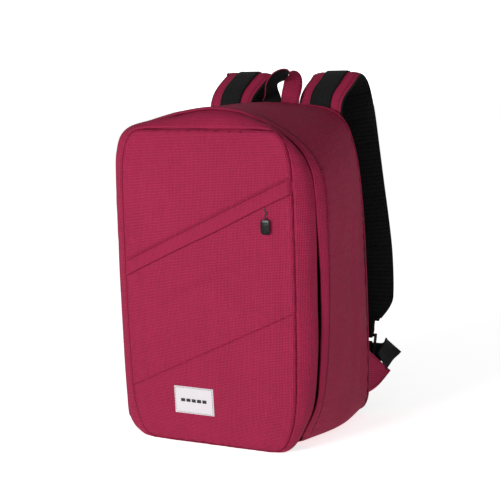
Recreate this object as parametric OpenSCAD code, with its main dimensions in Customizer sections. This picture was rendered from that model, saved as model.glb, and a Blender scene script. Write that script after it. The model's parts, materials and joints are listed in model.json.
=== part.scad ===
// Travel backpack of cabin-bag size, standing upright on its base.
// Frame: origin at the centre of the base, +Z up, front panel towards -Y, back panel towards +Y.

/* [Bag] */
// Height of the rear section
bag_h = 410; // [395:1:425]
// Depth from the front panel to the back panel
bag_d = 200; // [190:1:215]
// Width at the mouth of the main compartment, where the packed bag is widest
mouth_w = 288; // [280:2:296]
// Width of the lid where it meets the main zip
lid_w = 272; // [264:2:276]
// Width of the front panel between its seams
front_w = 234; // [224:2:240]
// Width of the back panel
back_w = 244; // [236:2:252]
// Height of the front panel's top seam
front_h = 389; // [380:1:394]
// Thickness of an outer fabric wall with its backing
wall = 2; // [1.5:0.1:2.2]

/* [Front pocket] */
// Slope of the pocket flap and its zip, in degrees
slope = 25.25; // [20:0.25:28]
// Height of the pocket zip at the middle of the bag
zip_z = 269; // [260:1:275]
// Height of the lower slanting seam at the middle of the bag
seam_z = 119.6; // [110:0.1:130]
// Width of the pocket flap
flap_w = 19.5; // [17:0.5:21]
// Width of the blank woven label
label_w = 56; // [40:1:60]
// Height of the blank woven label
label_h = 35; // [25:1:36]

/* [Straps] */
// Width of a padded shoulder strap
strap_w = 68; // [60:1:70]
// Distance from the middle of the bag to each shoulder strap's root
strap_x = 66.5; // [65:0.5:70]
// Width of the webbing on the straps and in the adjusters
web_w = 30; // [25:1:30]
// Width of the grab handle
handle_w = 25; // [22:1:26]

/* [Hardware] */
// Length of a zip slider's body
slider_l = 14; // [12:0.5:15]
// Width of a zip slider's body
slider_w = 9.6; // [9:0.1:10]
// Outer height of a ladder lock
lock_h = 31; // [30:0.5:34]
// Outer width of a ladder lock
lock_w = 42; // [40:0.5:44]

/* [Hidden] */

burgundy = [0.62, 0.12, 0.26];
deep_burgundy = [0.45, 0.08, 0.18];
black = [0.08, 0.08, 0.08];
soft_black = [0.14, 0.14, 0.14];
white = [0.93, 0.93, 0.92];
gunmetal = [0.28, 0.28, 0.30];
foam_grey = [0.60, 0.60, 0.60];

front_y = -bag_d / 2;       // outer face of the front panel
lid_y = front_y + 24;       // rear edge of the lid
flap_y = front_y + 28;      // free edge of the main zip's flap
mouth_y = front_y + 42;     // front edge of the main gusset
back_y = bag_d / 2;         // outer face of the back panel
back_t = 12;                // thickness of the padded back panel
gusset_y = back_y - back_t; // rear edge of the main gusset
fold_z = 28;                // height of the fold line that the lid turns about
gap = 0.2;                  // air between neighbouring layers
corner_n = 8;               // segments in each rounded corner
grade = tan(slope);

// A station is [y, half width, lowest z, highest z, top corner width, top corner height, bottom corner radius].
front_st = [front_y, front_w / 2, 0, front_h, 28, 40, 28];
lid_st = [lid_y, lid_w / 2, 0, bag_h - 1, 95, 108, 50];
mouth_st = [mouth_y, mouth_w / 2, 0, bag_h, 95, 108, 50];
back_st = [back_y, back_w / 2, 0, bag_h - 6, 60, 60, 35];
zip_st = [lid_y, lid_w / 2 - 5.5, 0, bag_h - 7.5, 90, 102, 46];

zip_ring_t = 1;   // thickness of the main zip's tape
coil_t = 1.6;     // height of the main zip's coil over its tape
zip_mid_y = front_y + 30;

// Points along a quarter of an ellipse.
function corner(cx, cz, rx, rz, from) =
    [for (i = [0 : corner_n]) let (a = from + 90 * i / corner_n) [cx + rx * cos(a), cz + rz * sin(a)]];

// Rounded outline of a station, in the X-Z plane.
function outline(s) = concat(
    corner(s[1] - s[4], s[3] - s[5], s[4], s[5], 0),
    corner(s[4] - s[1], s[3] - s[5], s[4], s[5], 90),
    corner(s[6] - s[1], s[2] + s[6], s[6], s[6], 180),
    corner(s[1] - s[6], s[2] + s[6], s[6], s[6], 270));

// The same station drawn in by d all round.
function inset(s, d) = [s[0], s[1] - d, s[2] + d, s[3] - d, s[4] - d, s[5] - d, s[6] - d];

// The station between a and b at depth y.
function at(a, b, y) = a + (b - a) * (y - a[0]) / (b[0] - a[0]);

// A flat plate of a station's outline between two depths.
module plate(s, y0, y1) {
    translate([0, y1, 0]) rotate([90, 0, 0]) linear_extrude(y1 - y0) polygon(outline(s));
}

// A flat ring between two stations' outlines.
module ring(outer, inner, y0, y1) {
    translate([0, y1, 0]) rotate([90, 0, 0]) linear_extrude(y1 - y0)
        difference() {
            polygon(outline(outer));
            polygon(outline(inner));
        }
}

// A solid that tapers from the station at y0 to the station at y1.
module loft(a, b, y0, y1, d = 0) {
    sliver = 0.1;
    hull() {
        plate(inset(at(a, b, y0), d), y0, y0 + sliver);
        plate(inset(at(a, b, y1), d), y1 - sliver, y1);
    }
}

// A wall of thickness t that follows the taper, its outer face drawn in by d.
module sleeve(a, b, y0, y1, d, t) {
    difference() {
        loft(a, b, y0, y1, d);
        loft(a, b, y0 - 1, y1 + 1, d + t);
    }
}

// Keeps what is above a height.
module above(z) {
    intersection() {
        children();
        translate([-200, -200, z]) cube([400, 400, 500]);
    }
}

// A slanting band of the front panel's outline between two heights, measured at the middle of the bag.
module front_band(y0, y1, d, z_low, z_high, low_end = fold_z + 1) {
    reach = 160;
    rise = reach * grade;
    translate([0, y1, 0]) rotate([90, 0, 0]) linear_extrude(y1 - y0)
        intersection() {
            polygon(outline(inset(front_st, d)));
            polygon([[-reach, z_low - rise], [reach, z_low + rise], [reach, z_high + rise], [-reach, z_high - rise]]);
            translate([-reach, low_end]) square([2 * reach, 500]);
        }
}

// ---------------------------------------------------------------- ribbons

function unit(v) = v / norm(v);
function spline_point(a, b, c, d, t) =
    0.5 * (2 * b + (c - a) * t + (2 * a - 5 * b + 4 * c - d) * t * t + (3 * b - a - 3 * c + d) * t * t * t);

// A smooth run of points through a list, steps to each span.
function spline(p, steps) = let (n = len(p) - 1) concat(
    [for (i = [0 : n - 1], k = [0 : steps - 1])
        spline_point(p[max(i - 1, 0)], p[i], p[i + 1], p[min(i + 2, n)], k / steps)],
    [p[n]]);

function tangent(p, i) = unit(p[min(i + 1, len(p) - 1)] - p[max(i - 1, 0)]);

// The four corners of a ribbon's section at point i: b is its width direction, and n0 and n1 its faces.
function section(p, b, w, n0, n1, i) =
    let (t = tangent(p, i), side = unit(b[i] - t * (b[i] * t)), n = cross(t, side))
    [p[i] + side * w[i] / 2 + n * n0, p[i] + side * w[i] / 2 + n * n1,
     p[i] - side * w[i] / 2 + n * n1, p[i] - side * w[i] / 2 + n * n0];

// A flat band swept along p, w wide, from n0 to n1 across its thickness.
module ribbon(p, b, w, n0, n1) {
    count = len(p);
    points = [for (i = [0 : count - 1]) each section(p, b, w, n0, n1, i)];
    sides = [for (i = [0 : count - 2], k = [0 : 3])
        [4 * i + k, 4 * i + 4 + k, 4 * i + 4 + (k + 1) % 4, 4 * i + (k + 1) % 4]];
    // Both faces are split along the same diagonal, so that stacked layers stay apart where the band twists.
    triangles = [for (j = [0 : len(sides) - 1]) let (f = sides[j], k = j % 4 == 3 ? 1 : 0)
        each [[f[k], f[k + 1], f[(k + 2) % 4]], [f[k], f[(k + 2) % 4], f[(k + 3) % 4]]]];
    last = 4 * (count - 1);
    polyhedron(points, concat([[0, 1, 2], [0, 2, 3]], triangles,
        [[last, last + 2, last + 1], [last, last + 3, last + 2]]));
}

// ---------------------------------------------------------------- rear section

module main_gusset() {
    color(burgundy) difference() {
        sleeve(mouth_st, back_st, mouth_y, gusset_y, 0, wall);
        translate([-base_half - 0.2, mouth_y - 1, -1]) cube([2 * base_half + 0.4, bag_d, wall + 1.6]);
    }
}

base_half = back_w / 2 - 35; // the flat of the base ends where the corners begin
base_t = 2.4;

module bottom_panel() {
    color(burgundy) translate([-base_half, mouth_y, 0]) cube([2 * base_half, gusset_y - mouth_y, base_t]);
}

module bottom_board() {
    color(soft_black) translate([3 - base_half, mouth_y + 4, base_t + gap])
        cube([2 * base_half - 6, gusset_y - mouth_y - 6, 2]);
}

// The bottom strip of the lid's shell, below the fold line, which stays on the base.
module front_foot() {
    color(burgundy) intersection() {
        union() {
            sleeve(front_st, mouth_st, front_y, mouth_y - gap, 0, wall);
            plate(inset(front_st, wall / 2), front_y, front_y + wall);
        }
        translate([-200, -200, -1]) cube([400, 400, fold_z + 0.4]);
    }
}

lining_t = 0.9;
lining_d = wall + gap;

module main_lining() {
    color(black) {
        difference() {
            sleeve(mouth_st, back_st, mouth_y + 2.4, gusset_y - 1.4, lining_d, lining_t);
            translate([-base_half - 0.2, mouth_y - 1, -1]) cube([2 * base_half + 0.4, bag_d, 7]);
        }
        translate([-base_half, mouth_y + 2.4, base_t + 2 + 2 * gap])
            cube([2 * base_half, gusset_y - mouth_y - 4, lining_t]);
    }
}

module back_lining() {
    color(black) above(7) plate(inset(at(mouth_st, back_st, gusset_y), 3.5), gusset_y - 1.2, gusset_y - gap);
}

module back_foam() {
    color(foam_grey) plate(inset(back_st, 1), gusset_y + gap / 2, back_y - 4);
}

module back_panel_mesh() {
    color(black) plate(back_st, back_y - 4 + gap / 2, back_y);
}

module back_seam_binding() {
    s = at(mouth_st, back_st, gusset_y - 1.4);
    color(soft_black) above(10) ring(inset(s, 3.5), inset(s, 5.5), gusset_y - 5, gusset_y - 1.4);
}

yoke_t = 1.6;

module yoke_panel() {
    color(burgundy) translate([-104, back_y + 0.1, bag_h - 46]) cube([208, yoke_t, 34]);
}

module zip_flap() {
    s = [flap_y, mouth_w / 2 - 0.5, 0, bag_h - 0.5, 95, 108, 50];
    color(burgundy) above(fold_z + 1) sleeve(s, mouth_st, flap_y, mouth_y - gap, 0, 1.6);
}

module zip_facing() {
    color(black) above(fold_z + 1)
        ring(inset(mouth_st, wall + gap + 0.2), inset(zip_st, zip_ring_t), mouth_y + gap, mouth_y + 1.8);
}

module zip_tape(y0, y1) {
    above(fold_z + 1) ring(zip_st, inset(zip_st, zip_ring_t), y0, y1);
}

module zip_coil(y0, y1) {
    above(fold_z + 3) ring(inset(zip_st, -0.1 - coil_t), inset(zip_st, -0.1), y0, y1);
}

module main_zip_tape_rear() { color(black) zip_tape(zip_mid_y + 1.6, mouth_y); }
module main_zip_coil_rear() { color(black) zip_coil(zip_mid_y + 0.05, zip_mid_y + 2.4); }
module main_zip_tape_lid() { color(black) zip_tape(lid_y - 4, zip_mid_y - 1.6); }
module main_zip_coil_lid() { color(black) zip_coil(zip_mid_y - 2.4, zip_mid_y - 0.05); }

// ---------------------------------------------------------------- laptop sleeve

sleeve_y = back_y - 34;
sleeve_half = 110;
sleeve_top = 290;
sleeve_low = 10;

module laptop_sleeve() {
    s = [0, sleeve_half, sleeve_low, sleeve_top, 8, 8, 35];
    color(soft_black) plate(s, sleeve_y, sleeve_y + 5);
}

module sleeve_gusset() {
    s = [0, sleeve_half, sleeve_low, sleeve_top, 8, 8, 35];
    color(black) intersection() {
        ring(s, inset(s, 1.5), sleeve_y + 5.1, gusset_y - 5.2);
        translate([-200, 0, 0]) cube([400, 200, sleeve_top - 12]);
    }
}

module sleeve_binding() {
    color(black) translate([9 - sleeve_half, sleeve_y - 0.6, sleeve_top + 0.1])
        cube([2 * sleeve_half - 18, 6.2, 5]);
}

// ---------------------------------------------------------------- lid

module lid_gusset() {
    color(burgundy) above(fold_z + 1) sleeve(front_st, lid_st, front_y, lid_y, 0, wall);
}

panel_d = wall + gap; // the panels sit inside the gusset's front edge
slot = 6.6;           // half height of the slot that the pocket zip shows in
flap_high = zip_z + 13;
flap_low = flap_high - flap_w / cos(slope);

module front_panel_upper() {
    color(burgundy) front_band(front_y, front_y + wall, panel_d, zip_z + slot, 700);
}

module front_panel_middle() {
    color(burgundy) front_band(front_y, front_y + wall, panel_d, seam_z + 0.1, zip_z - slot);
}

module front_panel_lower() {
    color(burgundy) front_band(front_y, front_y + wall, panel_d, -300, seam_z - 0.1);
}

module pocket_flap() {
    color(burgundy) {
        front_band(front_y - 3.2, front_y - 1.9, panel_d, flap_low, flap_high);
        front_band(front_y - 1.9, front_y - 0.1, panel_d, flap_high - 3.5, flap_high);
    }
}

tape_y = front_y + wall + 0.1;
tape_t = 0.8;
coil_front = 1.6;

module front_zip_tape() {
    color(black) for (s = [-1, 1])
        front_band(tape_y, tape_y + tape_t, 4, zip_z + (s > 0 ? 0.1 : -13), zip_z + (s > 0 ? 13 : -0.1));
}

module front_zip_coil() {
    half = 2.6;
    color(black) intersection() {
        for (s = [-1, 1])
            front_band(tape_y - coil_front, tape_y - 0.05, 4,
                zip_z + (s > 0 ? 0.15 : -half), zip_z + (s > 0 ? half : -0.15));
        translate([-101, -200, 0]) cube([203, 400, 500]);
    }
}

// Places children on the pocket zip, at x, with +X along the zip and +Z away from the bag.
module on_front_zip(x) {
    translate([x, tape_y, zip_z + x * grade]) rotate([0, -slope, 0]) rotate([90, 0, 0]) children();
}

module front_zip_stops() {
    color(gunmetal) for (x = [-104, 105])
        on_front_zip(x) translate([-1.5, -3.2, 0.1]) cube([3, 6.4, 2]);
}

pocket_d = 8;                         // depth of the front pocket
foam_y = front_y + wall + pocket_d + 1; // front face of the lid's foam

module pocket_bag() {
    color(black) above(fold_z + 1) plate(inset(front_st, 4), front_y + wall + pocket_d, foam_y - gap);
}

module lid_foam() {
    color(foam_grey) above(fold_z + 1) plate(inset(front_st, 4), foam_y, foam_y + 4);
}

module lid_lining() {
    color(black) above(fold_z + 1) {
        plate(inset(front_st, 4), foam_y + 4.1, foam_y + 5);
        sleeve(front_st, lid_st, foam_y + 5.2, lid_y - 4.3, lining_d, 0.8);
    }
}

label_x = -22;
label_z = 56;

module label() {
    color(white) translate([label_x - label_w / 2, front_y - 0.9, label_z - label_h / 2])
        cube([label_w, 0.8, label_h]);
}

module label_stitching() {
    margin = 2;
    thread = 0.5;
    w = label_w - 2 * margin;
    h = label_h - 2 * margin;
    color(white) translate([label_x - w / 2, front_y - 1.2, label_z - h / 2]) difference() {
        cube([w, 0.25, h]);
        translate([thread, -1, thread]) cube([w - 2 * thread, 3, h - 2 * thread]);
    }
}

// ---------------------------------------------------------------- zip sliders and pulls

slider_t = 3.4;

// A zip slider over a coil: +X along the zip, +Z away from it; lips are its sides that reach down beside the coil.
module slider_body(coil_half, lips) {
    crown = coil_t + 0.4;
    translate([0, 0, crown]) linear_extrude(slider_t - crown) slider_outline();
    for (k = lips)
        linear_extrude(slider_t) intersection() {
            slider_outline();
            translate([-slider_l / 2, k > 0 ? coil_half : -slider_w / 2]) square([slider_l, slider_w / 2 - coil_half]);
        }
}

module slider_outline() {
    hull() {
        translate([-slider_l / 2 + 2, 0]) square([4, slider_w - 2.4], center = true);
        translate([slider_l / 2 - slider_w / 2, 0]) circle(d = slider_w, $fn = 32);
    }
}

front_slider_x = 80;
lug_l = 5;        // from the slider's edge to the middle of its eye
lug_t = 1;
cord_d = 1.6;     // thickness of the front pull's cord
eye_x = front_slider_x + (slider_w / 2 + lug_l) * sin(slope);
eye_z = zip_z + front_slider_x * grade - (slider_w / 2 + lug_l) * cos(slope);

module front_slider() {
    color(gunmetal) on_front_zip(front_slider_x) translate([0, 0, 0.1]) {
        slider_body(3, [-1, 1]);
        translate([0, -slider_w / 2 - lug_l, slider_t - lug_t]) lug(lug_l);
    }
}

// A flat lug with an eye that a pull's cord passes through, reaching l towards +Y.
module lug(l) {
    difference() {
        union() {
            cylinder(d = cord_d + 3.4, h = lug_t, $fn = 32);
            translate([-2.2, 0, 0]) cube([4.4, l + 1, lug_t]);
        }
        translate([0, 0, -1]) cylinder(d = cord_d + 0.2, h = lug_t + 2, $fn = 32);
    }
}

pull_y = front_y - 3.6;
cord_l = 12.5;
tab_l = 18;
tab_w = 12.5;

// The cord passes through the slider's eye and hangs down to the moulded end.
module front_pull_cord() {
    color(soft_black) {
        translate([eye_x, front_y - 0.3, eye_z]) rotate([90, 0, 0]) cylinder(d = cord_d, h = 3.5, $fn = 32);
        translate([eye_x, pull_y, eye_z - cord_l]) cylinder(d = cord_d, h = cord_l + cord_d / 2, $fn = 24);
    }
}

// A moulded pull with a slot in it, hanging down from z = 0.
module pull_tab(l, w, t) {
    rotate([90, 0, 0]) translate([0, 0, -t / 2]) linear_extrude(t) difference() {
        hull() {
            translate([0, -2.5]) circle(d = 5, $fn = 32);
            translate([0, w / 2 - l]) circle(d = w, $fn = 48);
        }
        hull() {
            translate([0, -l * 0.42]) circle(d = 2.6, $fn = 24);
            translate([0, w / 2 - l + 0.5]) circle(d = 3.6, $fn = 24);
        }
    }
}

module front_pull() {
    color(black) translate([eye_x, pull_y, eye_z - cord_l - 0.1]) pull_tab(tab_l, tab_w, 2.6);
}

// The main zip's two sliders meet half way up the left side.
main_slider_x = -(lid_w / 2 - 5.5) - 0.2;
main_upper_z = 238;
main_lower_z = 212;
main_lug_l = 3.6;
main_eye = slider_l / 2 + main_lug_l; // how far an eye hangs below its slider's middle
main_pull_x = main_slider_x - 7.5;
main_cord_l = 7;
main_tab_l = 12;
main_tab_w = 9;

module main_slider(z, way) {
    color(gunmetal) translate([main_slider_x, zip_mid_y, z]) rotate([0, -90, 0]) {
        scale([way, 1, 1]) slider_body(2.8, [1]);
        translate([-main_eye, 0, slider_t - lug_t]) rotate([0, 0, -90]) lug(main_lug_l);
    }
}

module main_slider_upper() { main_slider(main_upper_z, -1); }
module main_slider_lower() { main_slider(main_lower_z, 1); }

// A cord through the slider's eye, with a moulded end that hangs from it.
module main_pull(z) {
    color(black) translate([0, zip_mid_y, z - main_eye]) {
        translate([main_pull_x, 0, 0]) rotate([0, 90, 0])
            cylinder(d = cord_d, h = main_slider_x - 2.2 - main_pull_x, $fn = 32);
        translate([main_pull_x, 0, -main_cord_l]) cylinder(d = cord_d, h = main_cord_l + cord_d / 2, $fn = 24);
        translate([main_pull_x, 0, 0.4 - main_cord_l]) rotate([0, 0, 90]) pull_tab(main_tab_l, main_tab_w, 1.8);
    }
}

module main_pull_upper() { main_pull(main_upper_z); }
module main_pull_lower() { main_pull(main_lower_z); }

// ---------------------------------------------------------------- grab handle

handle_x = 3;
handle_y = back_y + 4.6;
handle_low = bag_h + 4;
handle_leg = handle_w / 2 + 0.3;

// The strip's centre line, and the way its width points: flat against the back at both ends, half turned at the top.
handle_path = spline([
    [handle_x - handle_leg, handle_y, handle_low], [handle_x - handle_leg + 0.5, handle_y, handle_low + 9],
    [handle_x - 10, handle_y, handle_low + 22], [handle_x - 3, handle_y, handle_low + 33],
    [handle_x + 7, handle_y, handle_low + 37], [handle_x + 14, handle_y, handle_low + 31],
    [handle_x + 15, handle_y, handle_low + 20], [handle_x + handle_leg, handle_y, handle_low + 9],
    [handle_x + handle_leg, handle_y, handle_low]], 4);
handle_turn = spline([[1, 0, 0], [0.9, 0.45, 0], [0.65, 0.76, 0], [0.5, 0.87, 0], [0.45, 0.9, 0],
    [0.5, 0.87, 0], [0.65, 0.76, 0], [0.9, 0.45, 0], [1, 0, 0]], 4);
handle_widths = [for (p = handle_path) handle_w];

module handle_outer() { color(burgundy) ribbon(handle_path, handle_turn, handle_widths, 0.15, 1.7); }
module handle_lining() { color(black) ribbon(handle_path, handle_turn, handle_widths, -1.7, -0.15); }

module handle_root() {
    color(burgundy) for (s = [-1, 1])
        translate([handle_x + s * handle_leg - handle_w / 2, handle_y - 1.6, bag_h - 30])
            cube([handle_w, 3.2, 31.4]);
}

// ---------------------------------------------------------------- shoulder straps

strap_y = back_y + 7.2;
strap_low = bag_h + 6;
strap_drop = [
    [0, 0, 0], [0, 0.6, 9], [0, 6, 19], [-1, 18, 25], [-1, 34, 25], [2, 48, 15], [6, 57, -4],
    [10, 62, -32], [15, 64, -72], [21, 64, -118], [26, 62, -164], [30, 60, -208], [32, 58, -246],
    [32, 54, -276], [30, 48, -300]];

function strap_path(s) = spline([for (p = strap_drop) [s * (strap_x + p[0]) - lean(p), strap_y + p[1], strap_low + p[2]]], 3);
function lean(p) = 3 * sin(min(p[1], 60) / 60 * 90) * (p[2] > -120 ? 1 : max(0, 1 + (p[2] + 120) / 80));
function strap_side(s) = [for (p = strap_path(s)) [s, 0, 0]];

// Full width down to the last stretch, where the pad narrows to its webbing.
function strap_widths(w, s) = [for (p = strap_path(s))
    let (d = (p[2] - (strap_low - 300)) / 30) d < 1 && p[1] > strap_y + 30 ? w - (w - web_w - 6) * (1 - d) * (1 - d) : w];

module strap_layer(s, w, n0, n1) {
    ribbon(strap_path(s), strap_side(s), strap_widths(w, s), min(s * n0, s * n1), max(s * n0, s * n1));
}

module strap_outer(s) { color(burgundy) strap_layer(s, strap_w, -5, -3.7); }
module strap_foam(s) { color(foam_grey) strap_layer(s, strap_w - 3, -3.5, 3.5); }
module strap_mesh(s) { color(black) strap_layer(s, strap_w, 3.7, 5); }

// The sewn end of a strap, which stays on the yoke.
module strap_root(s) {
    color(burgundy) translate([s * strap_x - strap_w / 2, back_y + 2, bag_h - 38]) cube([strap_w, 10.4, 42]);
}

lock_y = strap_y + 42;
lock_z = strap_low - 322;
lock_x = strap_x + 28;
lock_tilt = 20;
bar_r = 2;

// Places children at a ladder lock's top bar: +X across, -Z down the strap.
module at_lock(s) {
    translate([s * lock_x, lock_y, lock_z]) rotate([-lock_tilt, 0, 0]) children();
}

module strap_stripe(s) {
    widths = [for (p = strap_path(s)) web_w];
    ribbon(strap_path(s), strap_side(s), widths, min(-7 * s, -5.4 * s), max(-7 * s, -5.4 * s));
}

// The webbing down the middle of the strap, and the loop that holds the ladder lock.
module strap_webbing(s) {
    color(black) {
        strap_stripe(s);
        at_lock(s) {
            difference() {
                rotate([0, 90, 0]) translate([0, 0, -web_w / 2]) cylinder(r = bar_r + 2.2, h = web_w, $fn = 32);
                rotate([0, 90, 0]) translate([0, 0, -web_w]) cylinder(r = bar_r + 0.5, h = 2 * web_w, $fn = 32);
            }
            translate([-web_w / 2, -1.5, bar_r + 1.2]) cube([web_w, 3, 17]);
        }
    }
}

module ladder_lock(s) {
    rail = 4.6;
    color(black) at_lock(s) {
        for (k = [-1, 1])
            translate([k * (lock_w / 2 - rail / 2) - rail / 2, -2, -lock_h + bar_r]) cube([rail, 4, lock_h]);
        for (z = [0, -12, -lock_h + 2 * bar_r])
            translate([-lock_w / 2 + rail - 0.1, 0, z]) rotate([0, 90, 0])
                cylinder(r = bar_r, h = lock_w - 2 * rail + 0.2, $fn = 32);
        translate([-web_w / 2, -4.6, -lock_h + bar_r - 1]) cube([web_w, 3, 4]);
    }
}

wing_top = [121, back_y + 1.2, 90];
wing_low = [121, back_y + 1.2, 28];
wing_tip = [136, back_y + 41, 50];
wing_t = 2.4;

function mirrored(p, s) = [s * p[0], p[1], p[2]];

// A triangle of doubled fabric, sewn into the side seam, that the adjuster's webbing is sewn to.
module wing(s) {
    n = unit(cross(wing_low - wing_top, wing_tip - wing_top)) * wing_t / 2;
    color(burgundy) hull() for (p = [wing_top, wing_low, wing_tip], k = [-1, 1])
        translate(mirrored(p + k * n, s)) sphere(r = 0.3, $fn = 8);
}

edge_mid = wing_top * 0.36 + wing_tip * 0.64;
edge_way = unit(wing_tip - wing_top);
web_t = 1.6;

adjuster_points = [
    edge_mid + [0.7, 1.5, 2.4], edge_mid + [1, 8, 11], edge_mid + [2, 19, 21], edge_mid + [1, 31, 24],
    edge_mid + [-4, 40, 17], edge_mid + [-13, 41, 8], edge_mid + [-24, 37, 4], edge_mid + [-32, 32, 4]];
adjuster_sides = [
    edge_way, edge_way, [0.4, 0.55, -0.75], [0.7, 0.2, -0.65], [0.75, -0.3, -0.6], [0.5, -0.6, -0.6],
    [0.6, -0.3, -0.7], [0.8, 0, -0.5]];

// The slack webbing from a wing round to the back of its ladder lock.
module adjuster_webbing(s) {
    p = spline([for (q = adjuster_points) mirrored(q, s)], 4);
    b = spline([for (q = adjuster_sides) mirrored(q, s)], 4);
    color(black) ribbon(p, b, [for (q = p) web_w - 2], -web_t / 2, web_t / 2);
}

// The webbing's turn round the middle bar and its free tail.
module adjuster_tail(s) {
    color(black) at_lock(s) {
        difference() {
            rotate([0, 90, 0]) translate([12, 0, -web_w / 2]) cylinder(r = bar_r + 1.8, h = web_w, $fn = 32);
            rotate([0, 90, 0]) translate([12, 0, -web_w]) cylinder(r = bar_r + 0.1, h = 2 * web_w, $fn = 32);
            translate([-web_w, -10, -12 - 20]) cube([2 * web_w, 20, 20]);
        }
        translate([-web_w / 2, bar_r + 0.2, -lock_h - 32]) cube([web_w, web_t, lock_h + 20]);
    }
}

main_gusset();
bottom_panel();
bottom_board();
front_foot();
main_lining();
back_lining();
back_foam();
back_panel_mesh();
back_seam_binding();
yoke_panel();
zip_flap();
zip_facing();
main_zip_tape_rear();
main_zip_coil_rear();
laptop_sleeve();
sleeve_gusset();
sleeve_binding();
wing(1);  // wing_right
wing(-1);  // wing_left
strap_root(1);  // strap_root_right
strap_root(-1);  // strap_root_left
handle_root();
lid_gusset();
front_panel_upper();
front_panel_middle();
front_panel_lower();
pocket_flap();
pocket_bag();
lid_foam();
lid_lining();
front_zip_tape();
front_zip_coil();
front_zip_stops();
main_zip_tape_lid();
main_zip_coil_lid();
label();
label_stitching();
front_slider();
front_pull_cord();
front_pull();
main_slider_upper();
main_pull_upper();
main_slider_lower();
main_pull_lower();
handle_outer();
handle_lining();
strap_outer(1);  // strap_outer_right
strap_foam(1);  // strap_foam_right
strap_mesh(1);  // strap_mesh_right
strap_webbing(1);  // strap_webbing_right
adjuster_webbing(1);  // adjuster_webbing_right
ladder_lock(1);  // ladder_lock_right
adjuster_tail(1);  // adjuster_tail_right
strap_outer(-1);  // strap_outer_left
strap_foam(-1);  // strap_foam_left
strap_mesh(-1);  // strap_mesh_left
strap_webbing(-1);  // strap_webbing_left
adjuster_webbing(-1);  // adjuster_webbing_left
ladder_lock(-1);  // ladder_lock_left
adjuster_tail(-1);  // adjuster_tail_left
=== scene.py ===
import json
import math
import bmesh
import bpy
import numpy as np
from mathutils import Matrix, Vector


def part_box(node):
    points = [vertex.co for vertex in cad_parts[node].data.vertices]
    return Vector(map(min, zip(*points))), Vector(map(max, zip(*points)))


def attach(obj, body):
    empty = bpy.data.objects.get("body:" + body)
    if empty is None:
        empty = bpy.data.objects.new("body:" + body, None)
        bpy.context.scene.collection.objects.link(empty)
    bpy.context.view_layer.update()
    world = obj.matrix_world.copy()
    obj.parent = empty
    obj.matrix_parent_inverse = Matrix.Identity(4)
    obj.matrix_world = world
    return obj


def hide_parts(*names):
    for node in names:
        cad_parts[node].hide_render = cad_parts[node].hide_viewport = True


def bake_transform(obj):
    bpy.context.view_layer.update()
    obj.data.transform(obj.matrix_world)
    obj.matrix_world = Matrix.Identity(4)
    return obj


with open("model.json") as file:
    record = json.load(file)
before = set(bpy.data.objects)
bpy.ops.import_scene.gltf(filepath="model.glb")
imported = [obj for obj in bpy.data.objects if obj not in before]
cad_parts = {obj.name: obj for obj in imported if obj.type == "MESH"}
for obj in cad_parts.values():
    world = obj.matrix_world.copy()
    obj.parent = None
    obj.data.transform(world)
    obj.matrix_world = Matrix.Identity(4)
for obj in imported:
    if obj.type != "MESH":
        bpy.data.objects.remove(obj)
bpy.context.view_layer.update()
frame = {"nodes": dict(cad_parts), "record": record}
MM = 0.001
FORWARD, BACKWARD = np.array([0, -1.0, 0]), np.array([0, 1.0, 0])
RNG = np.random.default_rng(7)


def mm_box(node):
    lo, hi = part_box(node)
    return np.array(lo) / MM, np.array(hi) / MM


# ---- depths and sizes taken from the frame, in mm
GUSSET_LO, GUSSET_HI = mm_box("main_gusset")
HALF_W = GUSSET_HI[0]
TALL = GUSSET_HI[2]
FRONT_Y = mm_box("front_panel_upper")[0][1]
LID_Y = mm_box("lid_gusset")[1][1]
MOUTH_Y = GUSSET_LO[1]
BACK_Y = mm_box("back_panel_mesh")[1][1]
FOLD_Z = mm_box("lid_gusset")[0][2]


# ---- camera first
def look(azimuth, distance, height, yaw, pitch, roll, lens):
    """A camera at a distance from the bag's middle line, turned by yaw, tipped down by pitch and rolled."""
    a, t, p, r = (math.radians(v) for v in (azimuth, azimuth + yaw, pitch, roll))
    cam = bpy.data.objects.new("camera", bpy.data.cameras.new("camera"))
    bpy.context.collection.objects.link(cam)
    forward = np.array([-math.sin(t) * math.cos(p), math.cos(t) * math.cos(p), -math.sin(p)])
    right = np.cross(forward, [0, 0, 1.0])
    right /= np.linalg.norm(right)
    up = np.cross(right, forward)
    x = math.cos(r) * right + math.sin(r) * up
    y = -math.sin(r) * right + math.cos(r) * up
    m = np.eye(4)
    m[:3, 0], m[:3, 1], m[:3, 2] = x, y, -forward
    m[:3, 3] = [distance * math.sin(a), -distance * math.cos(a), height]
    cam.matrix_world = Matrix(m.tolist())
    cam.data.lens = lens
    cam.data.sensor_width = 36
    cam.data.clip_end = 50
    bpy.context.scene.camera = cam


look(azimuth=28.5, distance=1.690, height=0.505, yaw=-0.19, pitch=9.3, roll=-1.8, lens=97.2)


# ---- small maths
def unit(v):
    v = np.asarray(v, float)
    return v / np.maximum(np.linalg.norm(v, axis=-1, keepdims=True), 1e-12)


def smooth(t):
    t = np.clip(t, 0, 1)
    return t * t * (3 - 2 * t)


def bump_at(x, centre, width):
    return np.exp(-((x - centre) / width) ** 2)


_hash = RNG.random(4096)
_perm = RNG.permutation(4096)


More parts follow.
